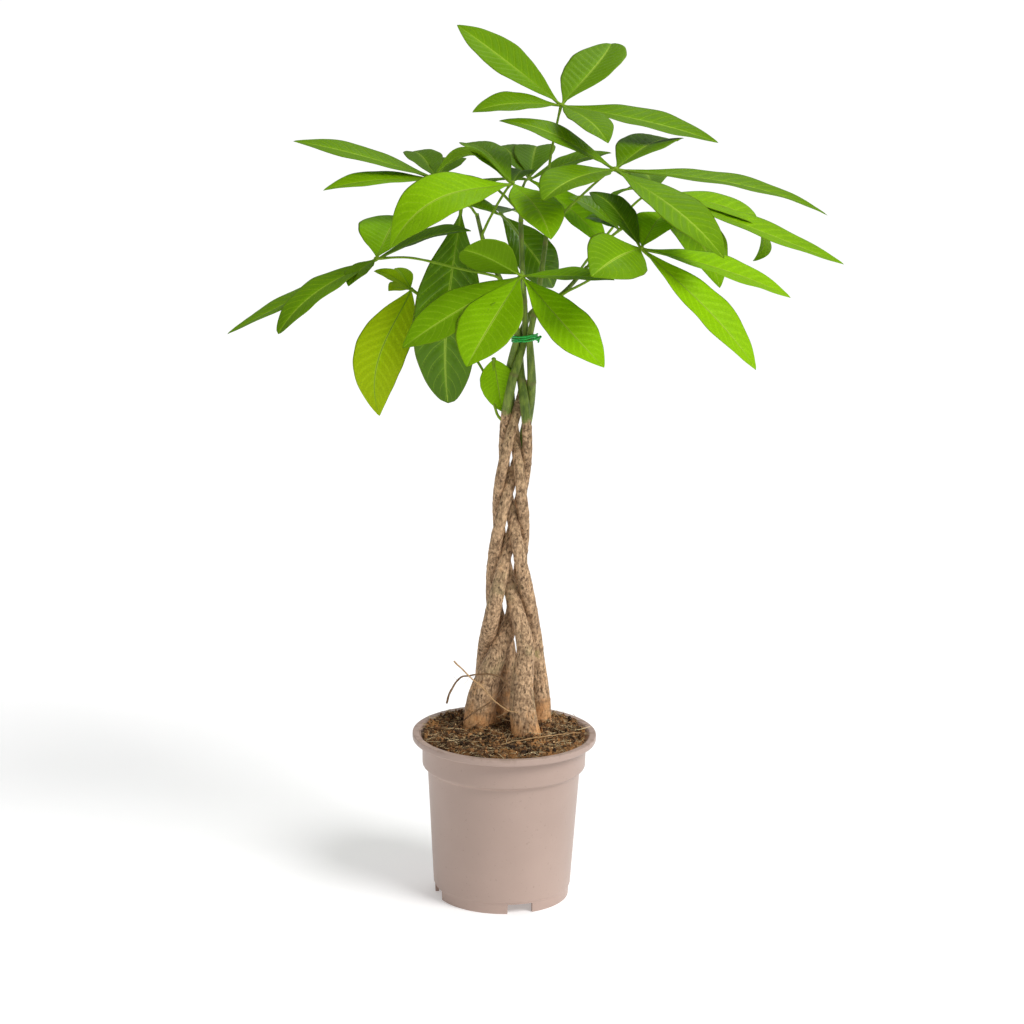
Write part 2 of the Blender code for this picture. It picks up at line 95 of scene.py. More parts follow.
# Compost, in mm. SOIL_SIDE gives its side as (share of the top's radius, height), going down.
SOIL_RADIUS = BAND_RADIUS - WALL + 0.4
SOIL_SIDES = 190
SOIL_RINGS = 84
SOIL_SIDE = ((0.985, 150.0), (0.935, BODY_TOP), (0.84, FLOOR_TOP + 0.5))
MOUND_WIDTH = 55
EDGE_START = 60
EDGE_WIDTH = 24
EDGE_DROP = 0.6
HEAP_HEIGHT = 3.2
HEAP_WIDTH = 7
HEAP_MOST = 4.5
CLEAR_OF_FOOT = 0.5
STRAND_SEGMENTS = 6

# Plait: heights in metres, and the rest in mm, from the compost up.
STEMS = 5
BRAID_HEIGHT = (0.110, 0.219, 0.262, 0.309, 0.360, 0.430, 0.500, 0.550, 0.590)
BRAID_TURNS = (3.2, 3.2, 3.0, 2.5, 1.97, 0.96, -0.01, -0.73, -1.3)
BRAID_REACH = (25.5, 25.5, 24.5, 20.0, 15.0, 13.0, 12.3, 11.8, 8.2)
BRAID_MIDDLE = (6.0, 6.0, 6.0, 3.0, 1.5, 3.0, 7.5, 10.0, 14.0)
BRAID_BACK = (10.0, 9.0, 8.0, 4.0, 2.0, 0.0, 0.0, 0.0, 0.0)
STEM_RADIUS = (9.2, 9.2, 9.0, 7.9, 6.4, 5.5, 5.0, 4.5, 3.2)
BRAID_DEPTH = 0.85
PLAIT_TOP = 0.590
FEET_START = 0.300
FEET_END = 0.195
STEM_FOOT = 0.150
SOIL_TOP = 172
PRUNED_STEM = 2
PRUNED_TOP = 0.541

# Each stem's foot in mm: right of the axis, behind it, its radius, and its lean to the left for
# each mm of rise.
Foot = namedtuple("Foot", "right behind radius lean")
FEET = {
    1: Foot(37, 21, 10.0, 0),
    2: Foot(24, -21, 13.5, 0.18),
    3: Foot(3, 33, 12.8, 0),
    4: Foot(-22.5, 41, 9.5, 0),
    5: Foot(-27.5, 6, 15.5, -0.08),
}

# Routes in mm of the shoots that go on above the plait.
SHOOTS = {
    1: ((13, 2, 620), (10, 4, 660), (8, 10, 700), (8, 16, 735)),
    3: ((24, -4, 620), (30, 4, 660), (34, 14, 700), (35, 24, 745)),
    4: ((20, 14, 611), (36, 19, 621), (53, 22, 632), (75, 24, 657)),
    5: ((1, -5, 620), (-12, -2, 648), (-26, 0, 675), (-36, 2, 711)),
}
SHOOT_TIP_RADIUS = 2.0

# The height in metres above which each stem's skin is still green, and how softly it starts.
GREEN_FROM = {1: 0.512, 2: 0.900, 3: 0.470, 4: 0.505, 5: 0.503}
GREEN_FADE = 0.022

TIE_HEIGHT = 0.588
TIE_RADIUS = 12.6
TIE_TURNS = 3
TIE_STEPS = 44

# Routes in mm of the loose roots over the compost.
ROOT_STEPS = 90
ROOTS = {
    "root_long": (
        (-52, -40, 261), (-39, -41, 248), (-22, -42, 233),
        (-11, -42, 220), (2, -42, 211), (14, -40, 207),
    ),
    "root_dark": (
        (-59, -34, 215), (-55, -34, 229), (-46, -34, 241),
        (-34, -36, 245), (-11, -36, 246), (-1, -34, 236),
        (-10, -36, 221), (-30, -38, 207), (-49, -28, 188), (-56, -20, 176),
    ),
    "root_surface": (
        (-6, -50, 175.5), (10, -48, 179), (26, -46, 182),
        (45, -36, 182), (64, -21, 180), (78, -6, 176),
    ),
}

# Leaves. bearing is degrees from +X towards +Y and rise is degrees above level, both of the
# straight line from the leaf stalk's end to the leaflet's tip. length, width and arch are mm, where
# arch is how far the blade stands off that line at its highest. lean, in degrees, tips the upper
# face to the front, and roll turns the blade about its own line. sweep bows it sideways and hook
# pulls its tip back, both in mm. tone is how pale the blade is, from 0 to 1, and
# over 1 it turns yellow. It is partly the leaf's own colour and partly painted light: paler for
# leaflets lit through from behind and darker for those in shade. blunt rounds the tip, from 0 to
# 1, and early moves the widest place towards the foot.
Leaflet = namedtuple(
    "Leaflet",
    "bearing rise length width arch lean tone roll sweep hook blunt early",
    defaults=(0, 0, 0, 0, 0),
)

# relief is how quilted the leaf is, and stalk is its stalk's route in mm.
Leaf = namedtuple("Leaf", "slot relief stalk leaflets")

LEAVES = {
    "leaf_top": Leaf(
        "leaf_green", 1.0,
        ((35, 24.5, 746.5), (36, 27, 765), (41, 29, 795), (46, 30, 819)),
        (
            Leaflet(159, 33, 135, 46, 1, 30, 0.50),
            Leaflet(-164, -4, 92, 36, 6, 26, 0.45),
            Leaflet(65, 23, 132, 60, 4, 0, 0.55, 0, 7, 0, 0.8),
            Leaflet(4, -13, 163, 46, 4, 20, 0.45),
            Leaflet(-62, -16, 100, 43, 6, 0, 0.45),
        ),
    ),
    "leaf_upper_right": Leaf(
        "leaf_green", 1.0,
        ((39.5, 9.5, 702), (60, 0, 725), (85, -19, 752), (99, -30, 764)),
        (
            Leaflet(165, 19, 126, 42, 9, 14, 0.45),
            Leaflet(58, 7, 125, 62, 9, 0, 0.40),
            Leaflet(5, -12, 218, 50, 11, 10, 0.45),
            Leaflet(-130, -11, 113, 60, 8, 12, 0.50),
            Leaflet(-41, -28, 156, 58, 8, 10, 0.60),
        ),
    ),
    "leaf_lower_right": Leaf(
        "leaf_fresh", 0.8,
        ((57, 16, 634), (80, -12, 652), (108, -55, 682), (125, -80, 694)),
        (
            Leaflet(130, 30, 90, 40, 8, 0, 0.10),
            Leaflet(-122, -10, 96, 64, 8, 0, 0.60, -35),
            Leaflet(-15, -44, 163, 52, 7, 20, 1.00),
            Leaflet(15, -19, 165, 50, 5, 19, 0.90),
            Leaflet(65, 21, 71, 50, 6, 0, 1.00),
        ),
    ),
    "leaf_back_right": Leaf(
        "leaf_green", 1.0,
        ((77.5, 26, 660), (95, 40, 688), (122, 50, 718), (142, 50, 733)),
        (
            Leaflet(6, -21, 212, 50, 0, 16, 0.70),
            Leaflet(32, -33, 188, 54, 34, 22, 0.75, 0, 0, 38),
            Leaflet(-145, -7, 53, 40, 6, -20, 0.60),
            Leaflet(-43, -45, 126, 56, 14, 15, 0.65),
            Leaflet(95, -8, 122, 50, 16, 0, 0.45),
        ),
    ),
    "leaf_inner_right": Leaf(
        "leaf_dark", 1.0,
        ((70, 18, 658), (85, 14, 678), (107, 10, 698)),
        (
            Leaflet(169, 29, 61, 40, 4, 10, 0.65),
            Leaflet(150, 11, 41, 34, 4, 10, 0.80),
            Leaflet(-32, 11, 29, 30, 3, 0, 0.10),
        ),
    ),
    "leaf_centre": Leaf(
        "leaf_fresh", 1.0,
        ((-30, -5, 693), (-20, -11, 716), (-8, -18, 738), (-1, -20, 747)),
        (
            Leaflet(-157, -25, 142, 62, 30, 33, 0.75),
            Leaflet(162, 2, 81, 32, 25, -25, 0.55),
            Leaflet(127, 18, 92, 46, 10, 0, 0.65),
            Leaflet(-63, -28, 95, 54, 8, 0, 0.75),
            Leaflet(76, 4, 52, 30, 5, 0, 0.20),
        ),
    ),
    "leaf_back_left": Leaf(
        "leaf_green", 1.0,
        ((4, 16, 715), (-25, 40, 738), (-58, 62, 743), (-78, 70, 738)),
        (
            Leaflet(176, 13, 151, 44, 3, 12, 0.40),
            Leaflet(-165, -5, 118, 40, 5, 14, 0.70),
            Leaflet(111, 12, 82, 40, 6, 0, 0.30),
            Leaflet(75, 9, 68, 40, 6, 0, 0.20),
        ),
    ),
    "leaf_far_left": Leaf(
        "leaf_green", 1.0,
        ((-17, -5, 651), (-50, -14, 659), (-100, -6, 668), (-136, 0, 666)),
        (
            Leaflet(180, -28, 169, 44, 1, 8, 0.45),
            Leaflet(-152, -33, 127, 46, 11, 8, 0.35, 0, 0, 0, 1),
            Leaflet(-131, -31, 46, 30, 4, 0, 0.50),
            Leaflet(78, 15, 108, 66, 6, 0, 0.75),
            Leaflet(-8, 18, 101, 44, 6, 10, 0.05),
        ),
    ),
    "leaf_front": Leaf(
        "leaf_fresh", 0.7,
        ((11, -2, 640), (11, -30, 657), (9, -55, 664), (9, -70, 663)),
        (
            Leaflet(-138, 23, 82, 46, 4, 0, 0.25, 45, 0, 0, 0.9),
            Leaflet(-165, -30, 137, 52, 4, 35, 0.60),
            Leaflet(-126, -42, 117, 64, 2, 20, 0.80),
            Leaflet(-29, -41, 124, 60, -2, 20, 1.00),
            Leaflet(-18, 1, 95, 42, 2, 10, 0.60),
        ),
    ),
    "leaf_hanging": Leaf(
        "leaf_dark", 1.9,
        ((-38, 3, 713), (-44, 8, 719), (-52, 10, 717)),
        (Leaflet(-139, -86, 198, 68, 6, 80, 0.20, 0, 7, 0, 1),),
    ),
    "leaf_yellow": Leaf(
        "leaf_yellow", 0.8,
        ((-20.5, 5.5, 538.5), (-35, 18, 562), (-70, 35, 605), (-102, 40, 629)),
        (
            Leaflet(-162, -76, 134, 54, 14, 70, 1.60, 0, 14, 0, 0, 0.30),
            Leaflet(166, 22, 43, 20, 4, 20, 1.35),
            Leaflet(119, 26, 38, 20, 3, 10, 1.30),
            Leaflet(-138, 2, 30, 22, 3, 20, 1.50),
        ),
    ),
    "leaf_back_centre": Leaf(
        "leaf_green", 1.0,
        ((9, 18, 737), (12, 40, 741), (16, 60, 741)),
        (
            Leaflet(-11, -40, 104, 44, 6, 20, 0.95),
            Leaflet(14, 16, 89, 38, 4, 10, 0.55),
            Leaflet(85, 11, 100, 44, 10, 0, 0.30),
            Leaflet(111, 9, 110, 42, 10, 0, 0.35),
            Leaflet(136, -20, 91, 44, 10, 0, 0.35),
        ),
    ),
    "leaf_inner_back": Leaf(
        "leaf_dark", 1.0,
        ((6, 15, 690), (-4, 35, 700), (-13, 50, 706)),
        (
            Leaflet(10, -54, 95, 44, 14, 60, 0.20),
            Leaflet(136, -7, 87, 44, 10, 0, 0.60),
            Leaflet(76, -7, 73, 40, 4, 0, 0.30),
        ),
    ),
    "shoot_low": Leaf(
        "leaf_yellow", 0.6,
        ((-13, -3, 511), (-18, -1, 535), (-17, 0, 566)),
        (Leaflet(0, -80, 55, 36, 2, 85, 1.10, 0, 0, 0, 0, 0.45),),
    ),
}

# Half of the blade's fold in degrees, and the powers and factors of its outline, bow and veins. BOW
# makes the curve t ** 1.5 * (1 - t) stand 1 high.
BLADE_FOLD = 11
BLADE_WIDEST = 1.25
BOW = 5.38
SIDE_VEINS = 14
VEIN_SLANT = 2.3
VEIN_CURVE = 1.25
STALK_STEPS = 46
RIB_STEPS = 30
LOW_SHOOT_POINTS = 30
NEAR_STEM = 0.018

# A tube's domed ends: how far out and how wide each ring is, as shares of the end's radius.
DOME = ((0.35, 0.86), (0.60, 0.5), (0.68, 0.0))
WELD_GAP = 0.000002

# Stage, in metres. The lights stand off the plant's middle, and the camera off the pot's axis.
FLOOR_SIZE = 80
KEY_PLACE = Vector((2.1, -1.6, 2.5))
BACK_PLACE = Vector((0.5, 1.3, 2.1))
CAMERA_PLACE = Vector((0.004, -3.05, 1.15))


# Shader building.


class Value:
    """A socket of a material. Arithmetic on it adds Math nodes."""

    def __init__(self, paint, socket):
        self.paint = paint
        self.socket = socket

    def __add__(self, other):
        return self.paint.math("ADD", self, other)

    def __sub__(self, other):
        return self.paint.math("SUBTRACT", self, other)

    def __rsub__(self, other):
        return self.paint.math("SUBTRACT", other, self)

    def __mul__(self, other):
        return self.paint.math("MULTIPLY", self, other)

    def __pow__(self, other):
        return self.paint.math("POWER", self, other)

    def __abs__(self):
        return self.paint.math("ABSOLUTE", self)

    def __gt__(self, other):
        return self.paint.math("GREATER_THAN", self, other)

    __radd__ = __add__
    __rmul__ = __mul__


class Paint:
    """A material with one Principled shader, and the nodes that feed it."""

    def __init__(self, name, settings):
        self.material = bpy.data.materials.new(name)
        self.material.use_nodes = True
        self.tree = self.material.node_tree
        self.shader = self.tree.nodes["Principled BSDF"]
        for socket, setting in settings.items():
            self.shader.inputs[socket].default_value = setting

    def node(self, kind, settings, sockets, output):
        """Any node: its settings first, then the values or links of its sockets."""
        node = self.tree.nodes.new(kind)
        for key, setting in settings.items():
            setattr(node, key, setting)
        for key, value in sockets.items():
            self.feed(self.socket(node.inputs, key), value)
        return Value(self, self.socket(node.outputs, output))

    @staticmethod
    def socket(sockets, key):
        """A socket by its number, or the first one in use by its name."""
        if isinstance(key, int):
            return sockets[key]
        return next(socket for socket in sockets if socket.name == key and socket.enabled)

    def feed(self, socket, value):
        """Links a socket to a value of this material, or sets it."""
        if isinstance(value, Value):
            self.tree.links.new(value.socket, socket)
        elif socket.type == "RGBA":
            socket.default_value = (*value, 1.0)
        else:
            socket.default_value = value

    def math(self, operation, *values):
        sockets = dict(enumerate(values))
        return self.node("ShaderNodeMath", {"operation": operation}, sockets, 0)

    def fraction(self, value):
        """The part of a value after its decimal point."""
        return self.math("FRACT", value)

    def smooth(self, value, start, end):
        """0 below start and 1 above end, with a smooth step between."""
        settings = {"interpolation_type": "SMOOTHSTEP"}
        sockets = {"Value": value, "From Min": start, "From Max": end}
        return self.node("ShaderNodeMapRange", settings, sockets, "Result")

    def mix(self, first, second, amount):
        settings = {"data_type": "RGBA", "clamp_factor": True}
        sockets = {"Factor": amount, "A": first, "B": second}
        return self.node("ShaderNodeMix", settings, sockets, "Result")

    def layered(self, color, *layers):
        """A colour with others laid over it in turn, each given with how much of it shows."""
        for over, amount in layers:
            color = self.mix(color, over, amount)
        return color

    def place(self, scale=(1, 1, 1)):
        """Object coordinates, stretched by scale."""
        coordinates = self.node("ShaderNodeTexCoord", {}, {}, "Object")
        return self.node("ShaderNodeMapping", {}, {"Vector": coordinates, "Scale": scale}, "Vector")

    def noise(self, where, scale, detail=3.0, roughness=0.55):
        sockets = {"Vector": where, "Scale": scale, "Detail": detail, "Roughness": roughness}
        return self.node("ShaderNodeTexNoise", {}, sockets, "Fac")

    def cells(self, where, scale, feature="F1"):
        sockets = {"Vector": where, "Scale": scale}
        return self.node("ShaderNodeTexVoronoi", {"feature": feature}, sockets, "Distance")

    def attribute(self, name):
        return self.node("ShaderNodeAttribute", {"attribute_name": name}, {}, "Fac")

    def part_of(self, vector, letter):
        """One of a vector's three numbers."""
        return self.node("ShaderNodeSeparateXYZ", {}, {"Vector": vector}, letter)

    def bump(self, height, distance, strength=1.0):
        sockets = {"Height": height, "Distance": distance, "Strength": strength}
        return self.node("ShaderNodeBump", {}, sockets, "Normal")

    def color(self, value):
        self.feed(self.shader.inputs["Base Color"], value)

    def roughness(self, value):
        self.feed(self.shader.inputs["Roughness"], value)

    def normal(self, value):
        self.feed(self.shader.inputs["Normal"], value)


def pot_plastic(settings):
    """Satin taupe plastic, faintly cloudy, with fine specks, light scuffs and a little dry soil."""
    paint = Paint("pot_plastic", {"Coat Weight": 0.15, "Coat Roughness": 0.35})
    where = paint.place()
    clouds = paint.noise(where, 9.0, 4.0)
    fine = paint.noise(where, 420.0, 2.0)
    specks = paint.smooth(paint.noise(where, 300.0, 2.0, 0.7), 0.66, 0.72)
    scuffs = paint.smooth(paint.noise(paint.place((1, 1, 7)), 46.0, 5.0, 0.7), 0.60, 0.74)
    height = paint.part_of(where, "Z")
    low = 1 - paint.smooth(height, 0.0, 0.045)
    dusty = paint.smooth(height, POT_HEIGHT - 0.006, POT_HEIGHT + 0.002)
    dust = paint.smooth(paint.noise(where, 85.0, 5.0, 0.65) + dusty * 0.10, 0.58, 0.70) * dusty
    body = paint.layered(
        paint.mix(settings.deep, settings.pale, paint.smooth(clouds, 0.3, 0.7)),
        ((0.300, 0.215, 0.175), specks * 0.45),
        ((0.560, 0.450, 0.390), scuffs * (0.06 + low * 0.22)),
        ((0.160, 0.100, 0.060), dust * 0.35),
    )
    paint.color(body)
    paint.roughness(0.40 + clouds * 0.10 + scuffs * 0.12 + dust * 0.3)
    paint.normal(paint.bump(fine + clouds * 1.5, 0.00012, 0.5))
    return paint.material


def compost(settings):
    """Damp peat: brown crumbs of many sizes, with pale fibre caught in it and painted shade in its
    pits.
    """
    paint = Paint("compost", {"Specular IOR Level": 0.25})
    where = paint.place()
    big = paint.noise(where, 38.0, 5.0, 0.6)
    grain = paint.noise(where, 260.0, 4.0, 0.7)
    cells = paint.cells(where, 330.0)
    strands = paint.cells(paint.place((1, 2.6, 1.4)), 190.0, "DISTANCE_TO_EDGE")
    shade = paint.smooth(big * 0.7 + grain * 0.5, 0.50, 0.76)
    earth = paint.layered(
        paint.mix(settings.deep, settings.pale, shade),
        ((0.700, 0.440, 0.200), (1 - paint.smooth(strands, 0.0, 0.035)) * grain * 0.7),
        # Near-black where the cells dip in the bump below: painted shade in the pits between
        # crumbs.
        ((0.010, 0.006, 0.004), 1 - paint.smooth(cells, 0.05, 0.30)),
    )
    paint.color(earth)
    paint.roughness(0.80 + grain * 0.18)
    paint.normal(paint.bump(grain + cells, 0.0011))
    return paint.material


def compost_bits(name, deep, pale, distance):
    """Loose bits in the compost, each as dark or pale as its own tint says."""
    paint = Paint(name, {"Specular IOR Level": 0.3})
    grain = paint.noise(paint.place(), 700.0, 3.0, 0.65)
    tint = paint.attribute("tint")
    paint.color(paint.mix(deep, pale, tint + (grain - 0.5) * 0.7))
    paint.roughness(0.72 + grain * 0.2)
    paint.normal(paint.bump(grain, distance))
    return paint.material


def bark(settings):
    """Grey-tan bark with fine fissures, pores, scars, green skin and bare orange patches."""
    paint = Paint("bark", {"Specular IOR Level": 0.35})
    where = paint.place()
    clouds = paint.noise(where, 55.0, 4.0, 0.6)
    streaks = paint.noise(paint.place((1, 1, 0.22)), 260.0, 5.0, 0.68)
    grain = paint.noise(where, 620.0, 3.0, 0.6)
    specks = paint.noise(paint.place((1, 1, 0.6)), 400.0, 3.0, 0.6)
    moss = paint.smooth(paint.noise(where, 24.0, 3.0), 0.55, 0.72)
    cracks = paint.smooth(paint.noise(paint.place((1, 1, 0.4)), 480.0, 3.0, 0.7), 0.57, 0.67)
    pores = 1 - paint.smooth(paint.cells(paint.place((1, 1, 1.7)), 240.0), 0.10, 0.22)
    pores = pores * paint.smooth(paint.noise(where, 130.0, 2.0), 0.48, 0.60)
    green = paint.smooth(paint.attribute("green") + (clouds - 0.5) * 0.9, 0.40, 0.62)
    ragged = (clouds - 0.5) * 2.2 + (streaks - 0.5) * 0.8
    peel = paint.smooth(paint.attribute("peel") + ragged, 0.20, 1.00)
    scar = paint.attribute("scar")

    shade = specks * 0.65 + streaks * 0.30 + clouds * 0.12
    fresh = paint.smooth(streaks * 0.6 + grain * 0.4, 0.3, 0.7)
    bare = paint.mix((0.480, 0.185, 0.050), (0.900, 0.500, 0.215), fresh)
    wood = paint.layered(
        paint.mix(settings.bark_deep, settings.bark_pale, paint.smooth(shade, 0.40, 0.68)),
        ((0.300, 0.270, 0.130), moss * 0.40),
        ((0.070, 0.038, 0.016), cracks * 0.75),
        ((0.800, 0.480, 0.220), pores * 0.75),
        (bare, peel * 0.88),
        ((0.180, 0.100, 0.048), scar * 0.6),
    )
    skin = paint.layered(
        paint.mix(settings.skin_deep, settings.skin_pale, paint.smooth(streaks, 0.3, 0.7)),
        ((0.360, 0.330, 0.130), pores * 0.8),
        ((0.200, 0.140, 0.060), scar * 0.7),
    )
    paint.color(paint.mix(wood, skin, green))
    paint.roughness(0.78 - green * 0.28 + (grain - 0.5) * 0.2)
    height = streaks * (1 - green * 0.7) - cracks * (1 - green) * 1.2 + pores * 0.7 + grain * 0.3
    paint.normal(paint.bump(height, 0.0011))
    return paint.material


def leaf_skin(name, settings, roughness, coat):
    """A leaf's skin. It follows the blade's own map: once round the blade, and from foot to tip."""
    paint = Paint(name, {"Coat Weight": coat, "Coat Roughness": 0.20, "Specular IOR Level": 0.06})
    own = paint.node("ShaderNodeUVMap", {"uv_map": "UVMap"}, {}, "UV")
    around = paint.part_of(own, "X")
    along = paint.part_of(own, "Y")
    stalk = paint.attribute("stalk")
    # Each leaflet's paleness, partly painted light: paler for light through a backlit leaflet,
    # darker for shade.
    tone = paint.attribute("tone")
    under = (around > 0.5) * (1 - stalk)
    side = 1 - abs(around - 0.5) * 4
    off = abs(side)
    where = paint.place()
    wander = paint.noise(where, 45.0, 2.0)
    clouds = paint.noise(where, 26.0, 3.0)

    slant = off**VEIN_CURVE * -VEIN_SLANT
    vein = paint.fraction(along * SIDE_VEINS + slant + (side > 0) * 0.5 + wander * 0.35 + 8.0)
    near = 1 - abs(vein - 0.5) * 2
    side_vein = (1 - paint.smooth(near, 0.02, 0.11)) * (1 - paint.smooth(off, 0.70, 0.98))
    beside = (1 - paint.smooth(near, 0.10, 0.55)) * (1 - paint.smooth(off, 0.55, 1.0))
    net_map = paint.node("ShaderNodeCombineXYZ", {}, {"X": along * 46.0, "Y": side * 9.0}, 0)
    net = 1 - paint.smooth(paint.cells(net_map, 1.0, "DISTANCE_TO_EDGE"), 0.0, 0.12)
    midrib = 1 - paint.smooth(off, 0.012, 0.055)
    by_midrib = 1 - paint.smooth(off, 0.03, 0.30)
    margin = paint.smooth(off, 0.955, 0.99)

    marks = paint.smooth(paint.noise(where, 150.0, 3.0, 0.6), 0.735, 0.77)
    shade = tone + (clouds - 0.5) * 0.25
    blade = paint.layered(
        settings.deep,
        (settings.mid, paint.smooth(shade, 0.0, 0.5)),
        (settings.fresh, paint.smooth(shade, 0.45, 1.0)),
        (settings.yellow, paint.smooth(tone + (clouds - 0.5) * 0.3, 1.0, 1.5)),
        (settings.deep, (1 - beside) * 0.17),
        (settings.fresh, by_midrib * 0.16),
        ((0.420, 0.650, 0.035), side_vein * 0.34),
        (settings.deep, net * 0.20),
        ((0.500, 0.700, 0.070), midrib * 0.85),
        ((0.380, 0.470, 0.050), margin * 0.45),
        ((0.200, 0.360, 0.008), under * 0.40),
        ((0.240, 0.170, 0.040), marks * 0.6),
    )
    fibres = paint.noise(paint.place((1, 1, 0.3)), 300.0, 3.0)
    stem = paint.mix((0.120, 0.230, 0.012), (0.300, 0.450, 0.035), fibres)
    paint.color(paint.mix(blade, stem, stalk))
    paint.roughness(roughness + under * 0.2 + (clouds - 0.5) * 0.10 + net * 0.04)
    height = (1 - stalk) * (net * -0.35 - side_vein * 0.9 + clouds * 0.4) + wander * 0.2
    paint.normal(paint.bump(height, 0.00035, 0.7))
    return paint.material


def green_twine(settings):
    """Green plastic twine with a slight sheen."""
    paint = Paint("green_twine", {"Coat Weight": 0.3, "Coat Roughness": 0.25})
    strands = paint.noise(paint.place(), 900.0, 2.0)
    shade = paint.smooth(strands, 0.3, 0.7)
    paint.color(paint.mix(settings.twine_deep, settings.twine_pale, shade))
    paint.roughness(0.35 + strands * 0.2)
    paint.normal(paint.bump(strands, 0.0002))
    return paint.material


def dry_root(settings):
    """Dry brown root, as dark or pale as its own tint says."""
    paint = Paint("dry_root", {"Specular IOR Level": 0.3})
    where = paint.place()
    grain = paint.noise(where, 300.0, 4.0, 0.65)
    blotch = paint.noise(where, 60.0, 2.0)
    shade = grain * 0.6 + paint.attribute("tint") * 0.6 + (blotch - 0.5) * 0.6
    paint.color(paint.mix(settings.root_deep, settings.root_pale, shade))
    paint.roughness(0.75 + grain * 0.15)
    paint.normal(paint.bump(grain, 0.0003))
    return paint.material


# Mesh building.


def select_only(*objects):
    if bpy.context.mode != "OBJECT":
        bpy.ops.object.mode_set(mode="OBJECT")
    bpy.ops.object.select_all(action="DESELECT")
    for obj in objects:
        obj.select_set(True)
    bpy.context.view_layer.objects.active = objects[0]


@contextmanager
def editing(obj):
    """Edit mode on one object, and object mode again after it."""
    select_only(obj)
    bpy.ops.object.mode_set(mode="EDIT")
    yield
    bpy.ops.object.mode_set(mode="OBJECT")


def added():
    """The object that the last primitive made, alone in the selection."""
    obj = bpy.context.object
    select_only(obj)
    return obj


def fix_place():
    """Moves the selected object's place, turn and size into its mesh."""
    bpy.ops.object.transform_apply(location=True, rotation=True, scale=True)


def finish(obj, name, material, replaced=None, angle=None):
    """Names and paints a finished piece, and says what it rides on and stands for."""
    select_only(obj)
    fix_place()
    obj.name = name
    obj.data.name = name
    obj.data.materials.clear()
    obj.data.materials.append(material)
    if angle is None:
        bpy.ops.object.shade_smooth()
    else:
        bpy.ops.object.shade_smooth_by_angle(angle=math.radians(angle))
    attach(obj, "root")
    if replaced:
        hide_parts(replaced)


def joined(pieces):
    """One object of several."""
    select_only(*pieces)
    if len(pieces) > 1:
        bpy.ops.object.join()
    return bpy.context.view_layer.objects.active


def weld(obj):
    """Merges points that share a place, and turns every face outwards."""
    with editing(obj):
        bpy.ops.mesh.select_all(action="SELECT")
        bpy.ops.mesh.remove_doubles(threshold=WELD_GAP)
        bpy.ops.mesh.normals_make_consistent(inside=False)


def points_of(obj):
    points = np.empty(len(obj.data.vertices) * 3)
    obj.data.vertices.foreach_get("co", points)
    return points.reshape(-1, 3)


def put_points(obj, points):
    obj.data.vertices.foreach_set("co", np.asarray(points, dtype=np.float32).ravel())
    obj.data.update()


def put_attribute(obj, name, values):
    """Gives each point its own value of a pattern's attribute."""
    layer = obj.data.attributes.new(name, "FLOAT", "POINT")
    each = np.broadcast_to(values, len(obj.data.vertices))
    layer.data.foreach_set("value", each.astype(np.float32))


def sheet(around, along):
    """A grid with its own map, and each point's place on it from 0 to 1: round it, and along it."""
    bpy.ops.mesh.primitive_grid_add(x_subdivisions=around, y_subdivisions=along, size=2)
    obj = added()
    places = (points_of(obj)[:, :2] + 1) / 2
    return obj, places[:, 0], places[:, 1]


def unit(vectors):
    lengths = np.linalg.norm(vectors, axis=-1, keepdims=True)
    return vectors / np.maximum(lengths, 1e-12)


def smooth_route(points, count):
    """count points, evenly spaced, on a Catmull-Rom curve through the route's own points."""
    route = np.array(points, dtype=float)
    route = np.vstack((2 * route[0] - route[1], route, 2 * route[-1] - route[-2]))
    place = np.linspace(0, len(route) - 3, count)
    first = np.minimum(place.astype(int), len(route) - 4)
    t = (place - first)[:, None]
    a, b, c, d = (route[first + i] for i in range(4))
    curve = (2 * a - 5 * b + 4 * c - d) * t**2 + (3 * b - a - 3 * c + d) * t**3
    return 0.5 * (2 * b + (c - a) * t + curve)


def carried_frames(centres):
    """Two directions across a route at each of its points, carried along it with no twist."""
    along = unit(np.gradient(centres, axis=0))
    side = np.empty_like(along)
    start = np.array((0.0, 1.0, 0.0)) if abs(along[0][1]) < 0.8 else np.array((1.0, 0.0, 0.0))
    side[0] = unit(start - along[0] * start.dot(along[0]))
    for i in range(1, len(centres)):
        side[i] = unit(side[i - 1] - along[i] * side[i - 1].dot(along[i]))
    return side, np.cross(along, side)


def domed(centres, radii):
    """A route and its radii with a dome added at each end."""
    domes = []
    for end, near in ((0, 1), (-1, -2)):
        out = unit(centres[end] - centres[near])
        steps = [centres[end] + out * radii[end] * step for step, _ in DOME]
        domes.append((np.array(steps), np.array([radii[end] * width for _, width in DOME])))
    (first, first_radii), (last, last_radii) = domes
    centres = np.vstack((first[::-1], centres, last))
    return centres, np.concatenate((first_radii[::-1], radii, last_radii))


def rolled_tube(centres, radii, around, relief=None, **attributes):
    """A tube rolled from a grid, with domed ends.

    relief gives what to add to the radius, from the turn round the tube, the ring and the point.
    """
    rings = len(centres)
    centres, radii = domed(centres, radii)
    side, other = carried_frames(centres)
    last = len(centres) - 1
    obj, turn, place = sheet(around, last)
    ring = np.rint(place * last).astype(int)
    angle = turn * math.tau
    out = side[ring] * np.cos(angle)[:, None] + other[ring] * np.sin(angle)[:, None]
    size = radii[ring].copy()
    if relief:
        skin = centres[ring] + out * size[:, None]
        on_seam = np.minimum(turn, 1 - turn) < 1e-9
        height = relief(np.where(on_seam, 0.0, angle), ring, skin)
        size += height * np.minimum(size / max(radii.max(), 1e-9) * 3, 1)
    put_points(obj, centres[ring] + out * size[:, None])
    for name, values in attributes.items():
        put_attribute(obj, name, np.broadcast_to(values, rings)[inside_domes(ring, rings)])
    weld(obj)
    return obj


def inside_domes(ring, rings):
    """Each ring's number along the route itself, where the domes' rings take the nearest one's."""
    return np.clip(ring - len(DOME), 0, rings - 1)


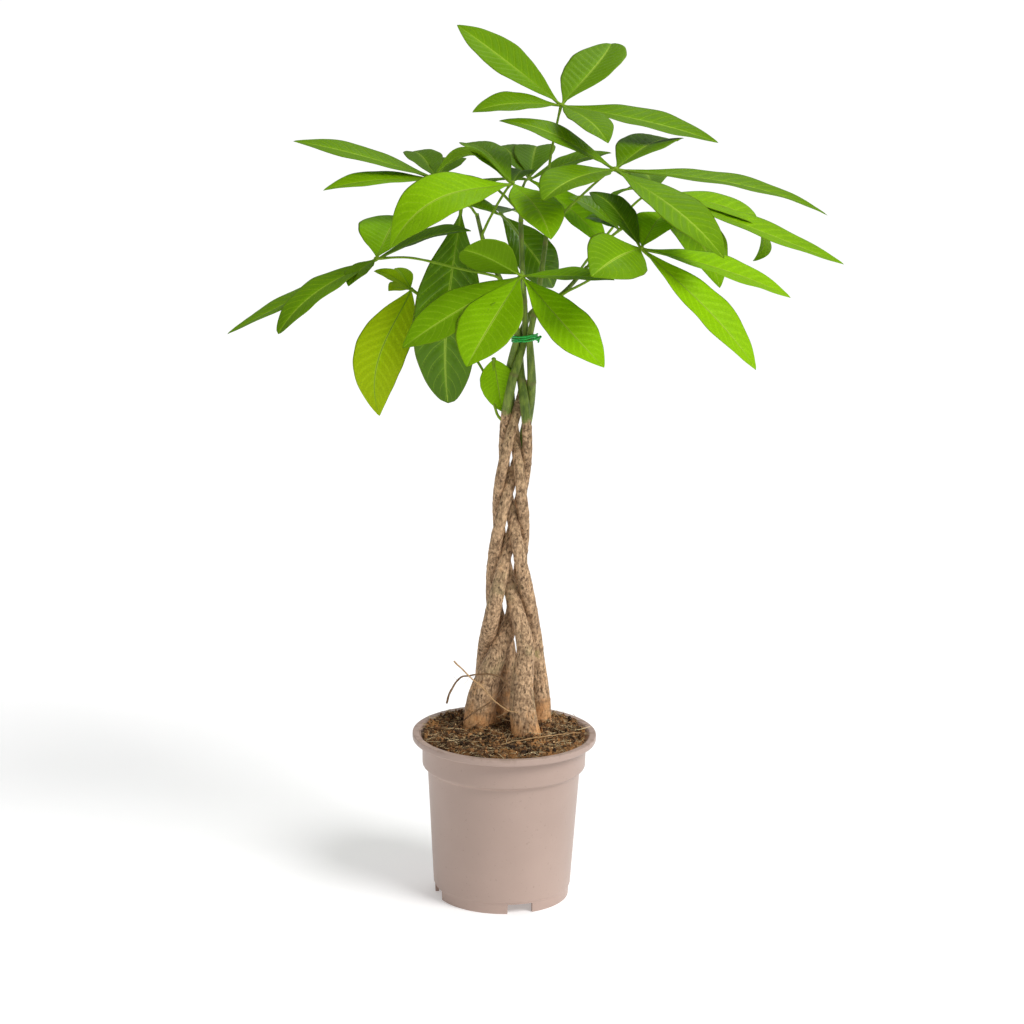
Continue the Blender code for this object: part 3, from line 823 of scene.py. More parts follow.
def lathe(profile, steps):
    """A closed turned body. Its profile's radii and heights in mm run from the axis round to it."""
    radius, height = profile[1]
    bpy.ops.mesh.primitive_circle_add(
        vertices=steps,
        radius=radius * MM,
        fill_type="TRIFAN",
        location=(AXIS[0], AXIS[1], height * MM),
    )
    obj = added()
    fix_place()
    with editing(obj):
        bpy.ops.mesh.select_all(action="DESELECT")
        bpy.ops.mesh.select_non_manifold()
        for next_radius, next_height in profile[2:-1]:
            rise = (0, 0, (next_height - height) * MM)
            bpy.ops.mesh.extrude_region_move(TRANSFORM_OT_translate={"value": rise})
            scale = next_radius / radius
            centre = (AXIS[0], AXIS[1], next_height * MM)
            bpy.ops.transform.resize(value=(scale, scale, 1), center_override=centre)
            radius, height = next_radius, next_height
        bpy.ops.mesh.edge_face_add()
        bpy.ops.mesh.poke()
        bpy.ops.mesh.select_all(action="SELECT")
        bpy.ops.mesh.normals_make_consistent(inside=False)
    return obj


def rounded_corner(corner, before, after, radius, steps=3):
    """Points on a small arc in place of a corner of a profile."""
    corner, before, after = (np.array(p, dtype=float) for p in (corner, before, after))
    into, out = unit(before - corner), unit(after - corner)
    start, end = corner + into * radius, corner + out * radius
    t = np.linspace(0, 1, steps + 1)[:, None]
    return [tuple(p) for p in (1 - t) ** 2 * start + 2 * t * (1 - t) * corner + t**2 * end]


def subtract(obj, cutter):
    """Cuts one shape out of another and removes the cutter."""
    select_only(obj)
    modifier = obj.modifiers.new("Cut", "BOOLEAN")
    modifier.operation = "DIFFERENCE"
    modifier.object = cutter
    bpy.ops.object.modifier_apply(modifier=modifier.name)
    bpy.data.objects.remove(cutter, do_unlink=True)


# Pot.


def pot_profile():
    """The pot's section, from its underside's middle, up the outside, over the lip and down inside.

    Each corner is its radius, its height and how far its rounding reaches, in mm.
    """
    inner_foot = BODY_FOOT_RADIUS - WALL - 0.9
    top = POT_HEIGHT / MM
    rim = RIM_RADIUS / MM
    corners = [
        (0, FLOOR_UNDERSIDE, 0),
        (FOOT_RADIUS - FOOT_WIDTH - 1.6, FLOOR_UNDERSIDE, 1.2),
        (FOOT_RADIUS - FOOT_WIDTH, FLOOR_UNDERSIDE - 3, 1.0),
        (FOOT_RADIUS - FOOT_WIDTH, 0, 0.5),
        (FOOT_RADIUS - 0.4, 0, 0.8),
        (FOOT_RADIUS, FOOT_HEIGHT - 0.6, 0.5),
        (FOOT_RADIUS + 0.6, FOOT_HEIGHT + 0.4, 0.4),
        (FOOT_RADIUS + 0.6, FOOT_HEIGHT + 1.4, 0.3),
        (BODY_FOOT_RADIUS, FOOT_HEIGHT + 2.2, 0.5),
        (BODY_TOP_RADIUS, BODY_TOP, 1.2),
        (BAND_RADIUS - 2.2, BAND_BOTTOM - 2.2, 1.4),
        (BAND_RADIUS - 0.5, BAND_BOTTOM - 0.6, 1.0),
        (BAND_RADIUS - 0.4, BAND_BOTTOM + 2.0, 0.6),
        (BAND_RADIUS, top - 7.4, 0.5),
        (rim - 0.8, top - 7.0, 0.7),
        (rim, top - 5.6, 0.8),
        (rim, top, 1.2),
        (rim - 6.5, top, 0.9),
        (rim - 8.2, top - 2.0, 1.2),
        (BAND_RADIUS - WALL, top - 8, 1.4),
        (BAND_RADIUS - WALL - 0.6, BAND_BOTTOM + 2, 1.0),
        (BODY_TOP_RADIUS - WALL, BODY_TOP + 0.8, 1.0),
        (inner_foot, FLOOR_TOP, 1.4),
        (0, FLOOR_TOP, 0),
    ]
    profile = [corners[0][:2]]
    for before, corner, after in zip(corners, corners[1:], corners[2:]):
        profile += rounded_corner(corner[:2], before[:2], after[:2], corner[2])
    return [*profile, corners[-1][:2]]


def off_axis(reach, bearing, height):
    """A point at a reach, a bearing in radians and a height, from the pot's axis and in mm."""
    return AXIS + np.array((reach * math.cos(bearing), reach * math.sin(bearing), height)) * MM


def add_pot(settings):
    pot = lathe(pot_profile(), settings.facets)
    for i in range(NOTCHES):
        bearing = math.radians(NOTCH_BEARING + i * 360 / NOTCHES)
        place = off_axis(FOOT_RADIUS - FOOT_WIDTH / 2, bearing, (NOTCH_LOW + NOTCH_HIGH) / 2)
        bpy.ops.mesh.primitive_cube_add(size=1, location=place, rotation=(0, 0, bearing))
        notch = added()
        notch.scale = (NOTCH_REACH * MM, NOTCH_WIDTH * MM, (NOTCH_HIGH - NOTCH_LOW) * MM)
        bpy.ops.object.transform_apply(location=False, rotation=True, scale=True)
        with editing(notch):
            bpy.ops.mesh.bevel(offset=NOTCH_ROUNDING * MM, segments=2, affect="EDGES")
        subtract(pot, notch)
    for i in range(DRAIN_HOLES):
        place = off_axis(DRAIN_CIRCLE, math.tau * (i + 0.5) / DRAIN_HOLES, FLOOR_TOP)
        bpy.ops.mesh.primitive_cylinder_add(
            vertices=32, radius=DRAIN_RADIUS * MM, depth=DRAIN_DEPTH * MM, location=place
        )
        subtract(pot, added())
    finish(pot, "nursery_pot", pot_plastic(settings), "pot", angle=28)


# Compost.


def gap_to_foot(x, y, foot):
    """How far a place stands from a stem's foot, in mm."""
    return math.hypot(x / MM - foot.right, y / MM - foot.behind) - foot.radius


def soil_height(x, y, settings):
    """How high the compost stands at a place, measured from the pot's axis."""
    reach = math.hypot(x, y) / MM
    edge = min(max((reach - EDGE_START) / EDGE_WIDTH, 0), 1)
    mound = settings.mound * math.exp(-((reach / MOUND_WIDTH) ** 2)) / MM
    gaps = [max(gap_to_foot(x, y, foot), 0) for foot in FEET.values()]
    heaps = min(sum(HEAP_HEIGHT * math.exp(-((gap / HEAP_WIDTH) ** 2)) for gap in gaps), HEAP_MOST)
    rough = settings.roughness / MM
    place = Vector((x, y, 0))
    lumps = noise.fractal(place * 62, 1.0, 2.2, 4) * rough * 1.6
    crumbs = abs(noise.noise(place * 300 + Vector((4, 7, 1)))) * rough * 1.5
    level = settings.level / MM + mound + heaps - edge**2 * EDGE_DROP
    return (level + lumps + crumbs) * MM


def add_compost(settings):
    """The compost bed: a rough top, and a side that follows the pot's inside to its floor."""
    radius = SOIL_RADIUS * MM
    bpy.ops.mesh.primitive_circle_add(
        vertices=SOIL_SIDES,
        radius=radius,
        fill_type="NGON",
        location=(AXIS[0], AXIS[1], settings.level),
    )
    soil = added()
    fix_place()
    with editing(soil):
        for _ in range(SOIL_RINGS):
            bpy.ops.mesh.inset(thickness=radius / (SOIL_RINGS + 1), depth=0)
        bpy.ops.mesh.poke()
    points = points_of(soil)
    for point in points:
        point[2] = soil_height(point[0] - AXIS[0], point[1] - AXIS[1], settings)
    put_points(soil, points)
    with editing(soil):
        bpy.ops.mesh.select_all(action="DESELECT")
        bpy.ops.mesh.select_non_manifold()
        share = 1.0
        for next_share, height in SOIL_SIDE:
            scale = next_share / share
            centre = (AXIS[0], AXIS[1], height * MM)
            bpy.ops.mesh.extrude_region_move()
            bpy.ops.transform.resize(value=(1, 1, 0), center_override=centre)
            bpy.ops.transform.resize(value=(scale, scale, 1), center_override=centre)
            share = next_share
        bpy.ops.mesh.edge_face_add()
        bpy.ops.mesh.select_all(action="SELECT")
        bpy.ops.mesh.normals_make_consistent(inside=False)
    finish(soil, "compost_bed", compost(settings), "soil")


def scattered(pattern, count, draw, place_one):
    """One mesh of many copies of a pattern, each with its own place, turn, sizes and tint."""
    own = points_of(pattern)
    faces = [tuple(face.vertices) for face in pattern.data.polygons]
    points, all_faces, tints = [], [], []
    for _ in range(count):
        spot, turn, sizes, tint = place_one(draw)
        matrix = np.array(turn) @ np.diag(sizes)
        base = len(points) * len(own)
        points.append(own @ matrix.T + spot)
        all_faces += [tuple(base + corner for corner in face) for face in faces]
        tints += [tint] * len(own)
    mesh = bpy.data.meshes.new(pattern.name)
    mesh.from_pydata(np.concatenate(points).tolist(), [], all_faces)
    pattern.data = mesh
    put_attribute(pattern, "tint", np.array(tints))
    return pattern


def soil_spot(draw, settings, widest=82.0):
    """A place on the compost within a reach in mm of the axis, clear of the stems' feet."""
    while True:
        reach = widest * MM * math.sqrt(draw.random())
        bearing = draw.uniform(0, math.tau)
        x, y = reach * math.cos(bearing), reach * math.sin(bearing)
        if all(gap_to_foot(x, y, foot) > CLEAR_OF_FOOT for foot in FEET.values()):
            return x, y, soil_height(x, y, settings)


def turned(about_z, about_y, about_x):
    """A turn about X, then Y, then Z, in radians."""
    turn = Matrix.Rotation(about_z, 3, "Z") @ Matrix.Rotation(about_y, 3, "Y")
    return turn @ Matrix.Rotation(about_x, 3, "X")


def loosely_level(draw, tilt):
    """A turn that lies flat, give or take a tilt in radians, and points anywhere."""
    return turned(draw.uniform(0, math.tau), draw.gauss(0, tilt), draw.uniform(0, math.tau))


def add_crumbs(settings):
    """Loose crumbs of peat in many sizes."""
    bpy.ops.mesh.primitive_ico_sphere_add(subdivisions=1, radius=1)
    crumb = added()
    with editing(crumb):
        bpy.ops.transform.vertex_random(offset=0.28, seed=5)

    def place_one(draw):
        x, y, z = soil_spot(draw, settings)
        size = MM * min(0.45 + draw.expovariate(1.6), 3.0)
        sizes = [size * draw.uniform(0.6, 1.35) for _ in range(3)]
        spot = AXIS + (x, y, z + size * draw.uniform(-0.3, 0.55))
        return spot, loosely_level(draw, 1.0), sizes, min(draw.expovariate(3.2), 1.0)

    crumb = scattered(crumb, settings.crumbs, random.Random(11), place_one)
    material = compost_bits("crumbs", (0.016, 0.007, 0.003), (0.400, 0.190, 0.070), 0.0008)
    finish(crumb, "compost_crumbs", material, angle=50)


def bent_strand(bend):
    """A thin strand along X, a unit each way, three-sided and tapered, with a bend in it."""
    bpy.ops.mesh.primitive_cylinder_add(vertices=3, radius=1, depth=2, rotation=(0, math.pi / 2, 0))
    strand = added()
    fix_place()
    with editing(strand):
        for i in range(1, STRAND_SEGMENTS):
            bpy.ops.mesh.select_all(action="SELECT")
            cut = (2 * i / STRAND_SEGMENTS - 1, 0, 0)
            bpy.ops.mesh.bisect(plane_co=cut, plane_no=(1, 0, 0))
    points = points_of(strand)
    slim = 1 - 0.7 * np.abs(points[:, 0]) ** 2
    points[:, 1:] *= slim[:, None]
    points[:, 2] += bend * (np.cos(points[:, 0] * 1.9) - 0.4)
    put_points(strand, points)
    return strand


def add_fibres(settings):
    """Pale fibres in two shapes, lying in the compost and standing out of it a little."""
    def place_one(draw):
        x, y, z = soil_spot(draw, settings, widest=85.0)
        thick = MM * draw.uniform(0.10, 0.27)
        length = MM * min(2.2 + draw.expovariate(0.28), 12.0)
        spot = AXIS + (x, y, z + thick + draw.uniform(0.0, 0.0016))
        tint = min(draw.expovariate(2.6), 1.0)
        return spot, loosely_level(draw, 0.16), (length, thick, thick), tint

    pieces = []
    for number, bend in enumerate((6.0, -3.0)):
        strand = bent_strand(bend)
        draw = random.Random(21 + number)
        pieces.append(scattered(strand, settings.fibres // 2, draw, place_one))
    material = compost_bits("fibres", (0.110, 0.048, 0.016), (1.000, 0.800, 0.470), 0.0003)
    finish(joined(pieces), "compost_fibres", material, angle=60)


def add_chips(settings):
    """Flat chips of bark and wood."""
    bpy.ops.mesh.primitive_cube_add(size=2)
    chip = added()
    with editing(chip):
        bpy.ops.mesh.subdivide(number_cuts=1)
        bpy.ops.transform.vertex_random(offset=0.22, seed=3)

    def place_one(draw):
        x, y, z = soil_spot(draw, settings)
        length = MM * min(0.9 + draw.expovariate(0.9), 4.2)
        sizes = (length, length * draw.uniform(0.2, 0.55), MM * draw.uniform(0.15, 0.4))
        spot = AXIS + (x, y, z + draw.uniform(-0.0002, 0.0012))
        turn = turned(draw.uniform(0, math.tau), draw.gauss(0, 0.35), draw.gauss(0, 0.35))
        return spot, turn, sizes, min(max(draw.gauss(0.35, 0.3), 0.0), 1.0)

    chip = scattered(chip, settings.chips, random.Random(31), place_one)
    material = compost_bits("chips", (0.080, 0.038, 0.016), (0.800, 0.520, 0.260), 0.0004)
    finish(chip, "compost_chips", material, angle=40)


# Trunk.


def along_plait(values, height):
    return np.interp(height, BRAID_HEIGHT, values)


def settled(height):
    """0 in the plait and 1 over the stem's own foot."""
    part = np.clip((FEET_START - height) / (FEET_START - FEET_END), 0, 1)
    return part * part * (3 - 2 * part)


def stem_axis(number, heights):
    """The middle of a stem in the plait, which swings side to side in a flat figure of eight."""
    swing = np.radians(270 + 360 / STEMS * (along_plait(BRAID_TURNS, heights) - (number - 1)))
    reach = along_plait(BRAID_REACH, heights)
    right = along_plait(BRAID_MIDDLE, heights) + reach * np.sin(swing)
    behind = along_plait(BRAID_BACK, heights) - BRAID_DEPTH * reach * np.sin(2 * swing)
    foot = FEET[number]
    over_foot = settled(heights)
    foot_right = foot.right - foot.lean * (heights / MM - SOIL_TOP)
    right = right + (foot_right - right) * over_foot
    behind = behind + (foot.behind - behind) * over_foot
    return AXIS + np.stack((right * MM, behind * MM, heights), axis=1)


def stem_radius(number, heights, settings):
    """The plait's radius, then the foot's, with a flare where it enters the compost."""
    in_plait = along_plait(STEM_RADIUS, heights)
    foot = FEET[number].radius
    radius = in_plait + (foot - in_plait) * settled(heights) ** 2
    flare = np.exp(-np.maximum(heights - settings.soil_level, 0) / 0.014)
    return (radius + foot * settings.flare * flare) * MM


def stem_route(number, settings):
    """The points and radii of one stem, from in the compost to its top."""
    top = PRUNED_TOP if number == PRUNED_STEM else PLAIT_TOP
    heights = np.linspace(STEM_FOOT, top, int((top - STEM_FOOT) / settings.ring_gap))
    points = stem_axis(number, heights)
    radii = stem_radius(number, heights, settings)
    if number in SHOOTS:
        own = np.vstack((points[-1] - AXIS, np.array(SHOOTS[number]) * MM))
        length = np.linalg.norm(np.diff(own, axis=0), axis=1).sum()
        shoot = smooth_route(own, int(length / settings.ring_gap))[1:] + AXIS
        points = np.vstack((points, shoot))
        radii = np.concatenate((radii, np.linspace(radii[-1], SHOOT_TIP_RADIUS * MM, len(shoot))))
    return points, radii


def scars(points, draw):
    """Where the leaf scars ring a stem, as strengths from 0 to 1 at each point."""
    steps = np.linalg.norm(np.diff(points, axis=0), axis=1)
    travelled = np.concatenate(((0,), np.cumsum(steps)))
    rings = np.zeros(len(points))
    place = draw.uniform(0.03, 0.09)
    while place < travelled[-1]:
        rings = np.maximum(rings, np.exp(-(((travelled - place) / 0.0016) ** 2)))
        place += draw.uniform(0.040, 0.105)
    return rings


def add_stem(number, settings, material):
    """One stem, with its fissures, pores and scars, and the ridges of its foot."""
    points, radii = stem_route(number, settings)
    draw = random.Random(40 + number)
    heights = points[:, 2]
    ringed = scars(points, draw)
    green = np.clip((heights - GREEN_FROM[number]) / GREEN_FADE + 0.5, 0, 1)
    green = np.maximum(green, 0.36 * np.exp(-(((heights - 0.25) / 0.05) ** 2)) * (number == 1))
    peel = 1.15 * np.exp(-np.maximum(heights - settings.soil_level - 0.006, 0) / 0.023)
    shift = Vector((number * 3.1, number * 1.7, 0))
    lobes = draw.uniform(0, math.tau)
    old = 1 - green

    def relief(angle, ring, skin):
        own = inside_domes(ring, len(points))
        rough = old[own]
        out = np.zeros(len(angle))
        for i, place in enumerate(skin):
            spot = Vector(place) + shift
            wide = noise.noise(spot * 48) * 0.00035
            stretched = Vector((spot.x, spot.y, spot.z * 0.3))
            fine = noise.fractal(stretched * 330, 1.0, 2.1, 3) * 0.00034
            fine += noise.noise(spot * 400) * 0.00022
            out[i] = wide * (0.35 + 0.65 * rough[i]) + fine * (0.15 + 0.85 * rough[i])
        knuckled = ringed[own] * (0.00030 + 0.0002 * np.cos(angle + ring * 0.01))
        foot = np.exp(-np.maximum(skin[:, 2] - settings.soil_level, 0) / 0.016)
        ridges = (np.cos(3 * angle + lobes) + 0.6 * np.cos(5 * angle + lobes * 2)) * 0.0016 * foot
        pores = np.array([noise.cell(Vector(p) * 420 + shift) for p in skin])
        return out + knuckled + ridges + (pores > 0.93) * 0.00025 * rough

    patterns = {"green": green, "peel": peel, "scar": ringed * 0.8}
    stem = rolled_tube(points, radii, settings.stem_sides, relief, **patterns)
    finish(stem, f"plait_stem_{number}", material, f"stem_{number}")


def add_trunk(settings):
    material = bark(settings)
    for number in range(1, STEMS + 1):
        add_stem(number, settings, material)


# Tie and roots.


def add_tie(settings):
    """Twine wound round the plait's top, with a knot at the right and two short ends."""
    centre = AXIS + (along_plait(BRAID_MIDDLE, TIE_HEIGHT) * MM, 0, TIE_HEIGHT)
    thick = settings.thickness / 2
    steps = TIE_STEPS * TIE_TURNS
    turn = np.linspace(0, math.tau * TIE_TURNS, steps)
    wander = np.array([noise.noise(Vector((a * 0.9, 3.0, 1.0))) for a in turn])
    reach = TIE_RADIUS * MM + wander * 0.0009
    rise = (turn / math.tau - TIE_TURNS / 2) * thick * 2.3 + wander * 0.0011
    tilt = 0.0016 * np.cos(turn + 0.6)
    wound = centre + np.stack((reach * np.cos(turn), reach * np.sin(turn), rise + tilt), axis=1)

    def strands(angle, ring, skin):
        return np.cos(2 * angle + ring * 1.15) * thick * 0.16

    pieces = [rolled_tube(wound, np.full(steps, thick), 12, strands)]
    knot_at = centre + (TIE_RADIUS * MM, -0.0015, 0.0004)
    t = np.linspace(0, math.tau, 64)
    across = np.sin(t) + 2 * np.sin(2 * t)
    behind = np.cos(t) - 2 * np.cos(2 * t)
    knot = knot_at + np.stack((across, behind, -np.sin(3 * t)), axis=1) * thick * 0.85
    pieces.append(rolled_tube(knot, np.full(len(knot), thick), 10, strands))
    for end in ((0.0035, -0.003, 0.0015), (0.001, -0.002, -0.004)):
        bend = knot_at + np.array(end) * 0.6 + (0.001, 0, 0.0014)
        route = smooth_route((knot_at, bend, knot_at + end), 16)
        pieces.append(rolled_tube(route, np.full(len(route), thick * 0.92), 10, strands))
    finish(joined(pieces), "twine_tie", green_twine(settings), "tie")


def add_roots(settings):
    """Fine dry roots over the compost, each uneven and with a few hair roots."""
    material = dry_root(settings)
    for index, (name, route) in enumerate(ROOTS.items()):
        draw = random.Random(60 + index)
        centres = smooth_route(np.array(route) * MM, ROOT_STEPS) + AXIS
        wobble = [
            [noise.noise(Vector(p) * 120 + Vector((k * 9, 0, 0))) for k in range(3)]
            for p in centres
        ]
        centres = centres + np.array(wobble) * 0.0009
        thick = settings.root_thickness / 2 * np.linspace(1.25, 0.62, ROOT_STEPS)
        thick = thick * (1 + 0.22 * np.array([noise.noise(Vector(p) * 420) for p in centres]))
        tint, stoutness = (-0.25, 1.25) if name == "root_dark" else (0.65, 1.0)
        pieces = [rolled_tube(centres, thick * stoutness, 8, tint=tint)]
        for _ in range(settings.hair_roots):
            start = centres[draw.randrange(10, 80)]
            out = unit(np.array((draw.gauss(0, 1), draw.gauss(0, 0.5), draw.gauss(0, 0.7))))
            reach = draw.uniform(0.004, 0.013)
            bend = np.array((draw.gauss(0, 1), draw.gauss(0, 1), -abs(draw.gauss(0, 1))))
            middle = start + out * reach * 0.5 + bend * reach * 0.22
            hair = smooth_route((start, middle, start + out * reach), 10)
            hair_radii = np.linspace(0.00022, 0.00009, len(hair))
            pieces.append(rolled_tube(hair, hair_radii, 5, tint=tint + 0.15))
        finish(joined(pieces), f"loose_{name}", material, name)


def add_foot_roots(settings):
    """Stout bare roots that leave the stems' feet and dive into the compost."""

    def relief(angle, ring, skin):
        return np.array([noise.fractal(Vector(p) * 210, 1.0, 2.2, 3) for p in skin]) * 0.0007

    pieces = []
    draw = random.Random(77)
    level = settings.soil_level
    for number, count in ((5, 4), (2, 3), (1, 1), (3, 2)):
        foot = FEET[number]
        base = AXIS + (foot.right * MM, foot.behind * MM, 0)
        for i in range(count):
            bearing = math.radians(-160 + 140 * (i + 0.5) / count + draw.uniform(-14, 14))
            out = np.array((math.cos(bearing), math.sin(bearing), 0)) * MM
            start = base + out * foot.radius * 0.55 + (0, 0, level + draw.uniform(0.006, 0.013))
            middle = base + out * foot.radius * 1.18 + (0, 0, level + draw.uniform(0.001, 0.004))
            end = base + out * (foot.radius + draw.uniform(6, 11)) + (0, 0, level - 0.008)
            route = smooth_route((start, middle, end), 26)
            thick = np.linspace(draw.uniform(0.0038, 0.0052), 0.0018, len(route))
            pieces.append(rolled_tube(route, thick, 16, relief, green=0.0, peel=0.72, scar=0.0))
    finish(joined(pieces), "foot_roots", bark(settings))


# Leaves.


def blade_frame(leaflet):
    """The directions along the leaflet, across it, and out of its upper face."""
    angles = (leaflet.bearing, leaflet.rise, leaflet.lean, leaflet.roll)
    bearing, rise, lean, roll = (math.radians(angle) for angle in angles)
    level = math.cos(rise)
    along = np.array((level * math.cos(bearing), level * math.sin(bearing), math.sin(rise)))
    face = np.array((0, -math.sin(lean), math.cos(lean)))
    face = unit(face - face.dot(along) * along)
    face = face * math.cos(roll) + np.cross(along, face) * math.sin(roll)
    return along, np.cross(along, face), face


def blade_half_width(t, leaflet):
    """Half a leaflet's width at a fraction of its length: a wedge at the foot, a drawn-out tip."""
    swell = np.sin(math.pi * np.clip(t, 0, 1) ** (BLADE_WIDEST - leaflet.early)).clip(0)
    swell = swell ** (1.05 - (0.29 + 0.20 * leaflet.blunt) * np.minimum(t / 0.45, 1))
    return leaflet.width / 2 * MM * swell * (1 - 0.30 * (1 - leaflet.blunt) * t**10)


def blade_spine(hub, leaflet, t):
    """Points along the midrib, and the directions along, across and out of the blade there."""
    along, across, face = blade_frame(leaflet)
    bow = (face * leaflet.arch + across * leaflet.sweep) * BOW
    t = t[:, None]
    reach = along * (leaflet.length * t - leaflet.hook * t**6)
    spine = hub + (reach + bow * t**1.5 * (1 - t)) * MM
    run = along * (leaflet.length - 6 * leaflet.hook * t**5) + bow * (1.5 * t**0.5 - 2.5 * t**1.5)
    run = unit(run)
    return spine, run, across, unit(np.cross(across, run))


def side_vein_place(t, side):
    """Where a point lies between two side veins, from 0 to 1."""
    place = t * SIDE_VEINS - VEIN_SLANT * np.abs(side) ** VEIN_CURVE + (side > 0) * 0.5
    return place - np.floor(place)


def add_blade(hub, leaflet, relief, draw, settings):
    """One leaflet, rolled once round from its left margin: over the top, then back underneath."""
    obj, turn, t = sheet(settings.blade_across * 4, settings.blade_along)
    side = 1 - 4 * np.abs(turn - 0.5)
    off = np.abs(side)
    spine, run, across, out = blade_spine(hub, leaflet, t)
    half = blade_half_width(t, leaflet)
    edge = 1 + 0.008 * np.sin(math.tau * (6.3 * t + draw.random()) + side * 2)
    twist = math.radians(draw.uniform(-5, 5)) * (t - 0.25)
    fold = math.radians(BLADE_FOLD)
    across = across[None, :] * np.cos(twist)[:, None] + out * np.sin(twist)[:, None]
    out = unit(np.cross(across, run))

    body = np.minimum(half / 0.02, 1.3)
    place = side_vein_place(t, side)
    dome = (4 * place * (1 - place)).clip(0) ** 0.6 - 0.55
    quilt = dome * np.sqrt((4 * off * (1 - off)).clip(0)) * settings.quilting * relief * body
    count, start = draw.uniform(2.2, 3.6), draw.random()
    wave = np.sin(math.tau * (count * t + start + 0.37 * (side > 0))) * off**2.2
    curl = -(off**3) * half * draw.uniform(0.00, 0.08)
    groove = -np.exp(-((off * half / 0.0011) ** 2)) * 0.0003
    raised = off * half * math.sin(fold) + quilt + wave * settings.waviness * body + curl + groove
    thickness = settings.blade_thickness / 2 * np.sqrt((1 - off**14).clip(0))
    thickness = thickness * np.minimum(half / 0.002, 1)
    raised = raised + np.where(turn > 0.5, -thickness, thickness)
    level = side * half * edge * math.cos(fold)
    put_points(obj, spine + across * level[:, None] + out * raised[:, None])
    put_attribute(obj, "stalk", 0.0)
    # Each leaflet's tone, partly its own colour and partly painted backlit glow and shade.
    put_attribute(obj, "tone", leaflet.tone + draw.uniform(-0.05, 0.05))
    weld(obj)

    places = np.linspace(0.0, 0.955, RIB_STEPS)
    spine, _, _, out = blade_spine(hub, leaflet, places)
    size = np.interp(places, (0, 0.05, 0.12, 1), (0.00165, 0.0014, 0.0010, 0.00025))
    size = size * (0.6 + leaflet.length / 320)
    rib = rolled_tube(spine - out * size[:, None] * 0.62, size, 8, stalk=0.8, tone=0.5)
    return [obj, rib]


def growing_points(trunk):
    """Points along the stems, and last along the low shoot, that a leaf stalk can leave from."""
    stems = [stem_route(number, trunk)[0] for number in range(1, STEMS + 1)]
    low_shoot = smooth_route(np.array(LEAVES["shoot_low"].stalk) * MM, LOW_SHOOT_POINTS) + AXIS
    return np.vstack((*stems, low_shoot))


def add_leaf(name, leaf, settings, sources, material):
    """One leaf: its stalk, the knuckle at its end and the leaflets that spread from there."""
    draw = random.Random(name)
    stalk = np.array(leaf.stalk) * MM + AXIS
    hub = stalk[-1]
    if name == "shoot_low":
        sources = sources[:-LOW_SHOOT_POINTS]
    behind = stalk[0] + (stalk[0] - stalk[1]) * 0.4
    gaps = np.linalg.norm(sources - behind, axis=1)
    if gaps.min() < NEAR_STEM:
        stalk = np.vstack((sources[gaps.argmin()], stalk))
    route = smooth_route(stalk, STALK_STEPS)
    place = np.linspace(0, 1, STALK_STEPS)
    size = np.interp(place, (0, 0.08, 0.2, 0.88, 1), (0.0026, 0.0021, 0.00145, 0.0012, 0.0019))

    def relief(angle, ring, skin):
        return np.array([noise.noise(Vector(p) * 240) for p in skin]) * 0.00018

    pieces = [rolled_tube(route, size, 12, relief, stalk=1.0, tone=0.5)]
    bpy.ops.mesh.primitive_uv_sphere_add(segments=16, ring_count=10, radius=0.0024, location=hub)
    knuckle = added()
    knuckle.scale = (1.0, 1.0, 0.8)
    fix_place()
    put_attribute(knuckle, "stalk", 1.0)
    put_attribute(knuckle, "tone", 0.5)
    pieces.append(knuckle)
    for leaflet in leaf.leaflets:
        pieces += add_blade(hub, leaflet, leaf.relief, draw, settings)
    foliage = "foliage_" + name.split("_", 1)[1]
    finish(joined(pieces), foliage, material, name)


def add_leaves(settings, trunk):
    glossy = leaf_skin("leaf_glossy", settings, roughness=0.34, coat=0.30)
    satin = leaf_skin("leaf_satin", settings, roughness=0.44, coat=0.02)
    sources = growing_points(trunk)
    for name, leaf in LEAVES.items():
        add_leaf(name, leaf, settings, sources, glossy if leaf.slot == "leaf_dark" else satin)


# Stage.


def add_light(kind, name, place, target, power):
    """A light that points at a target. Returns its data, for its own size to be set."""
    bpy.ops.object.light_add(type=kind, location=place)
    light = bpy.context.object
    light.name = name
    light.data.energy = power
    light.rotation_euler = (Vector(place) - Vector(target)).to_track_quat("Z", "Y").to_euler()
    return light.data


def add_stage(settings):
    """A plain pale floor, soft studio light and the camera."""
    scene = bpy.context.scene
    scene.view_settings.view_transform = "Standard"
    scene.view_settings.look = "None"
    bpy.ops.mesh.primitive_plane_add(size=FLOOR_SIZE)
    floor = bpy.context.object
    floor.name = "floor"
    surface = {
        "Base Color": (*settings.floor_color, 1),
        "Roughness": 0.9,
        "Emission Color": (1, 1, 1, 1),
        "Emission Strength": settings.floor_glow,
    }
    floor.data.materials.append(Paint("floor", surface).material)

    world = bpy.data.worlds.new("studio")
    scene.world = world
    world.use_nodes = True
    background = world.node_tree.nodes["Background"]
    background.inputs["Color"].default_value = (1, 1, 1, 1)
    background.inputs["Strength"].default_value = settings.surround
    middle = Vector(AXIS) + Vector((0, 0, 0.5))
    key = add_light("SUN", "key", middle + KEY_PLACE, middle, settings.key_strength)
    key.angle = settings.key_softness
    back = add_light("AREA", "back", middle + BACK_PLACE, middle, settings.back_power)
    back.shape = "DISK"
    back.size = settings.back_size

    bpy.ops.object.camera_add(location=Vector(AXIS) + CAMERA_PLACE)
    camera = bpy.context.object
    tilt = Matrix.Rotation(math.pi / 2 - settings.camera_pitch, 3, "X")
    roll = Matrix.Rotation(settings.camera_roll, 3, "Z")
    camera.rotation_euler = (tilt @ roll).to_euler()
    camera.data.lens = settings.camera_lens
    camera.data.sensor_width = 36.0
    camera.data.clip_end = 200.0
    scene.camera = camera


# Settings, operators and panel.


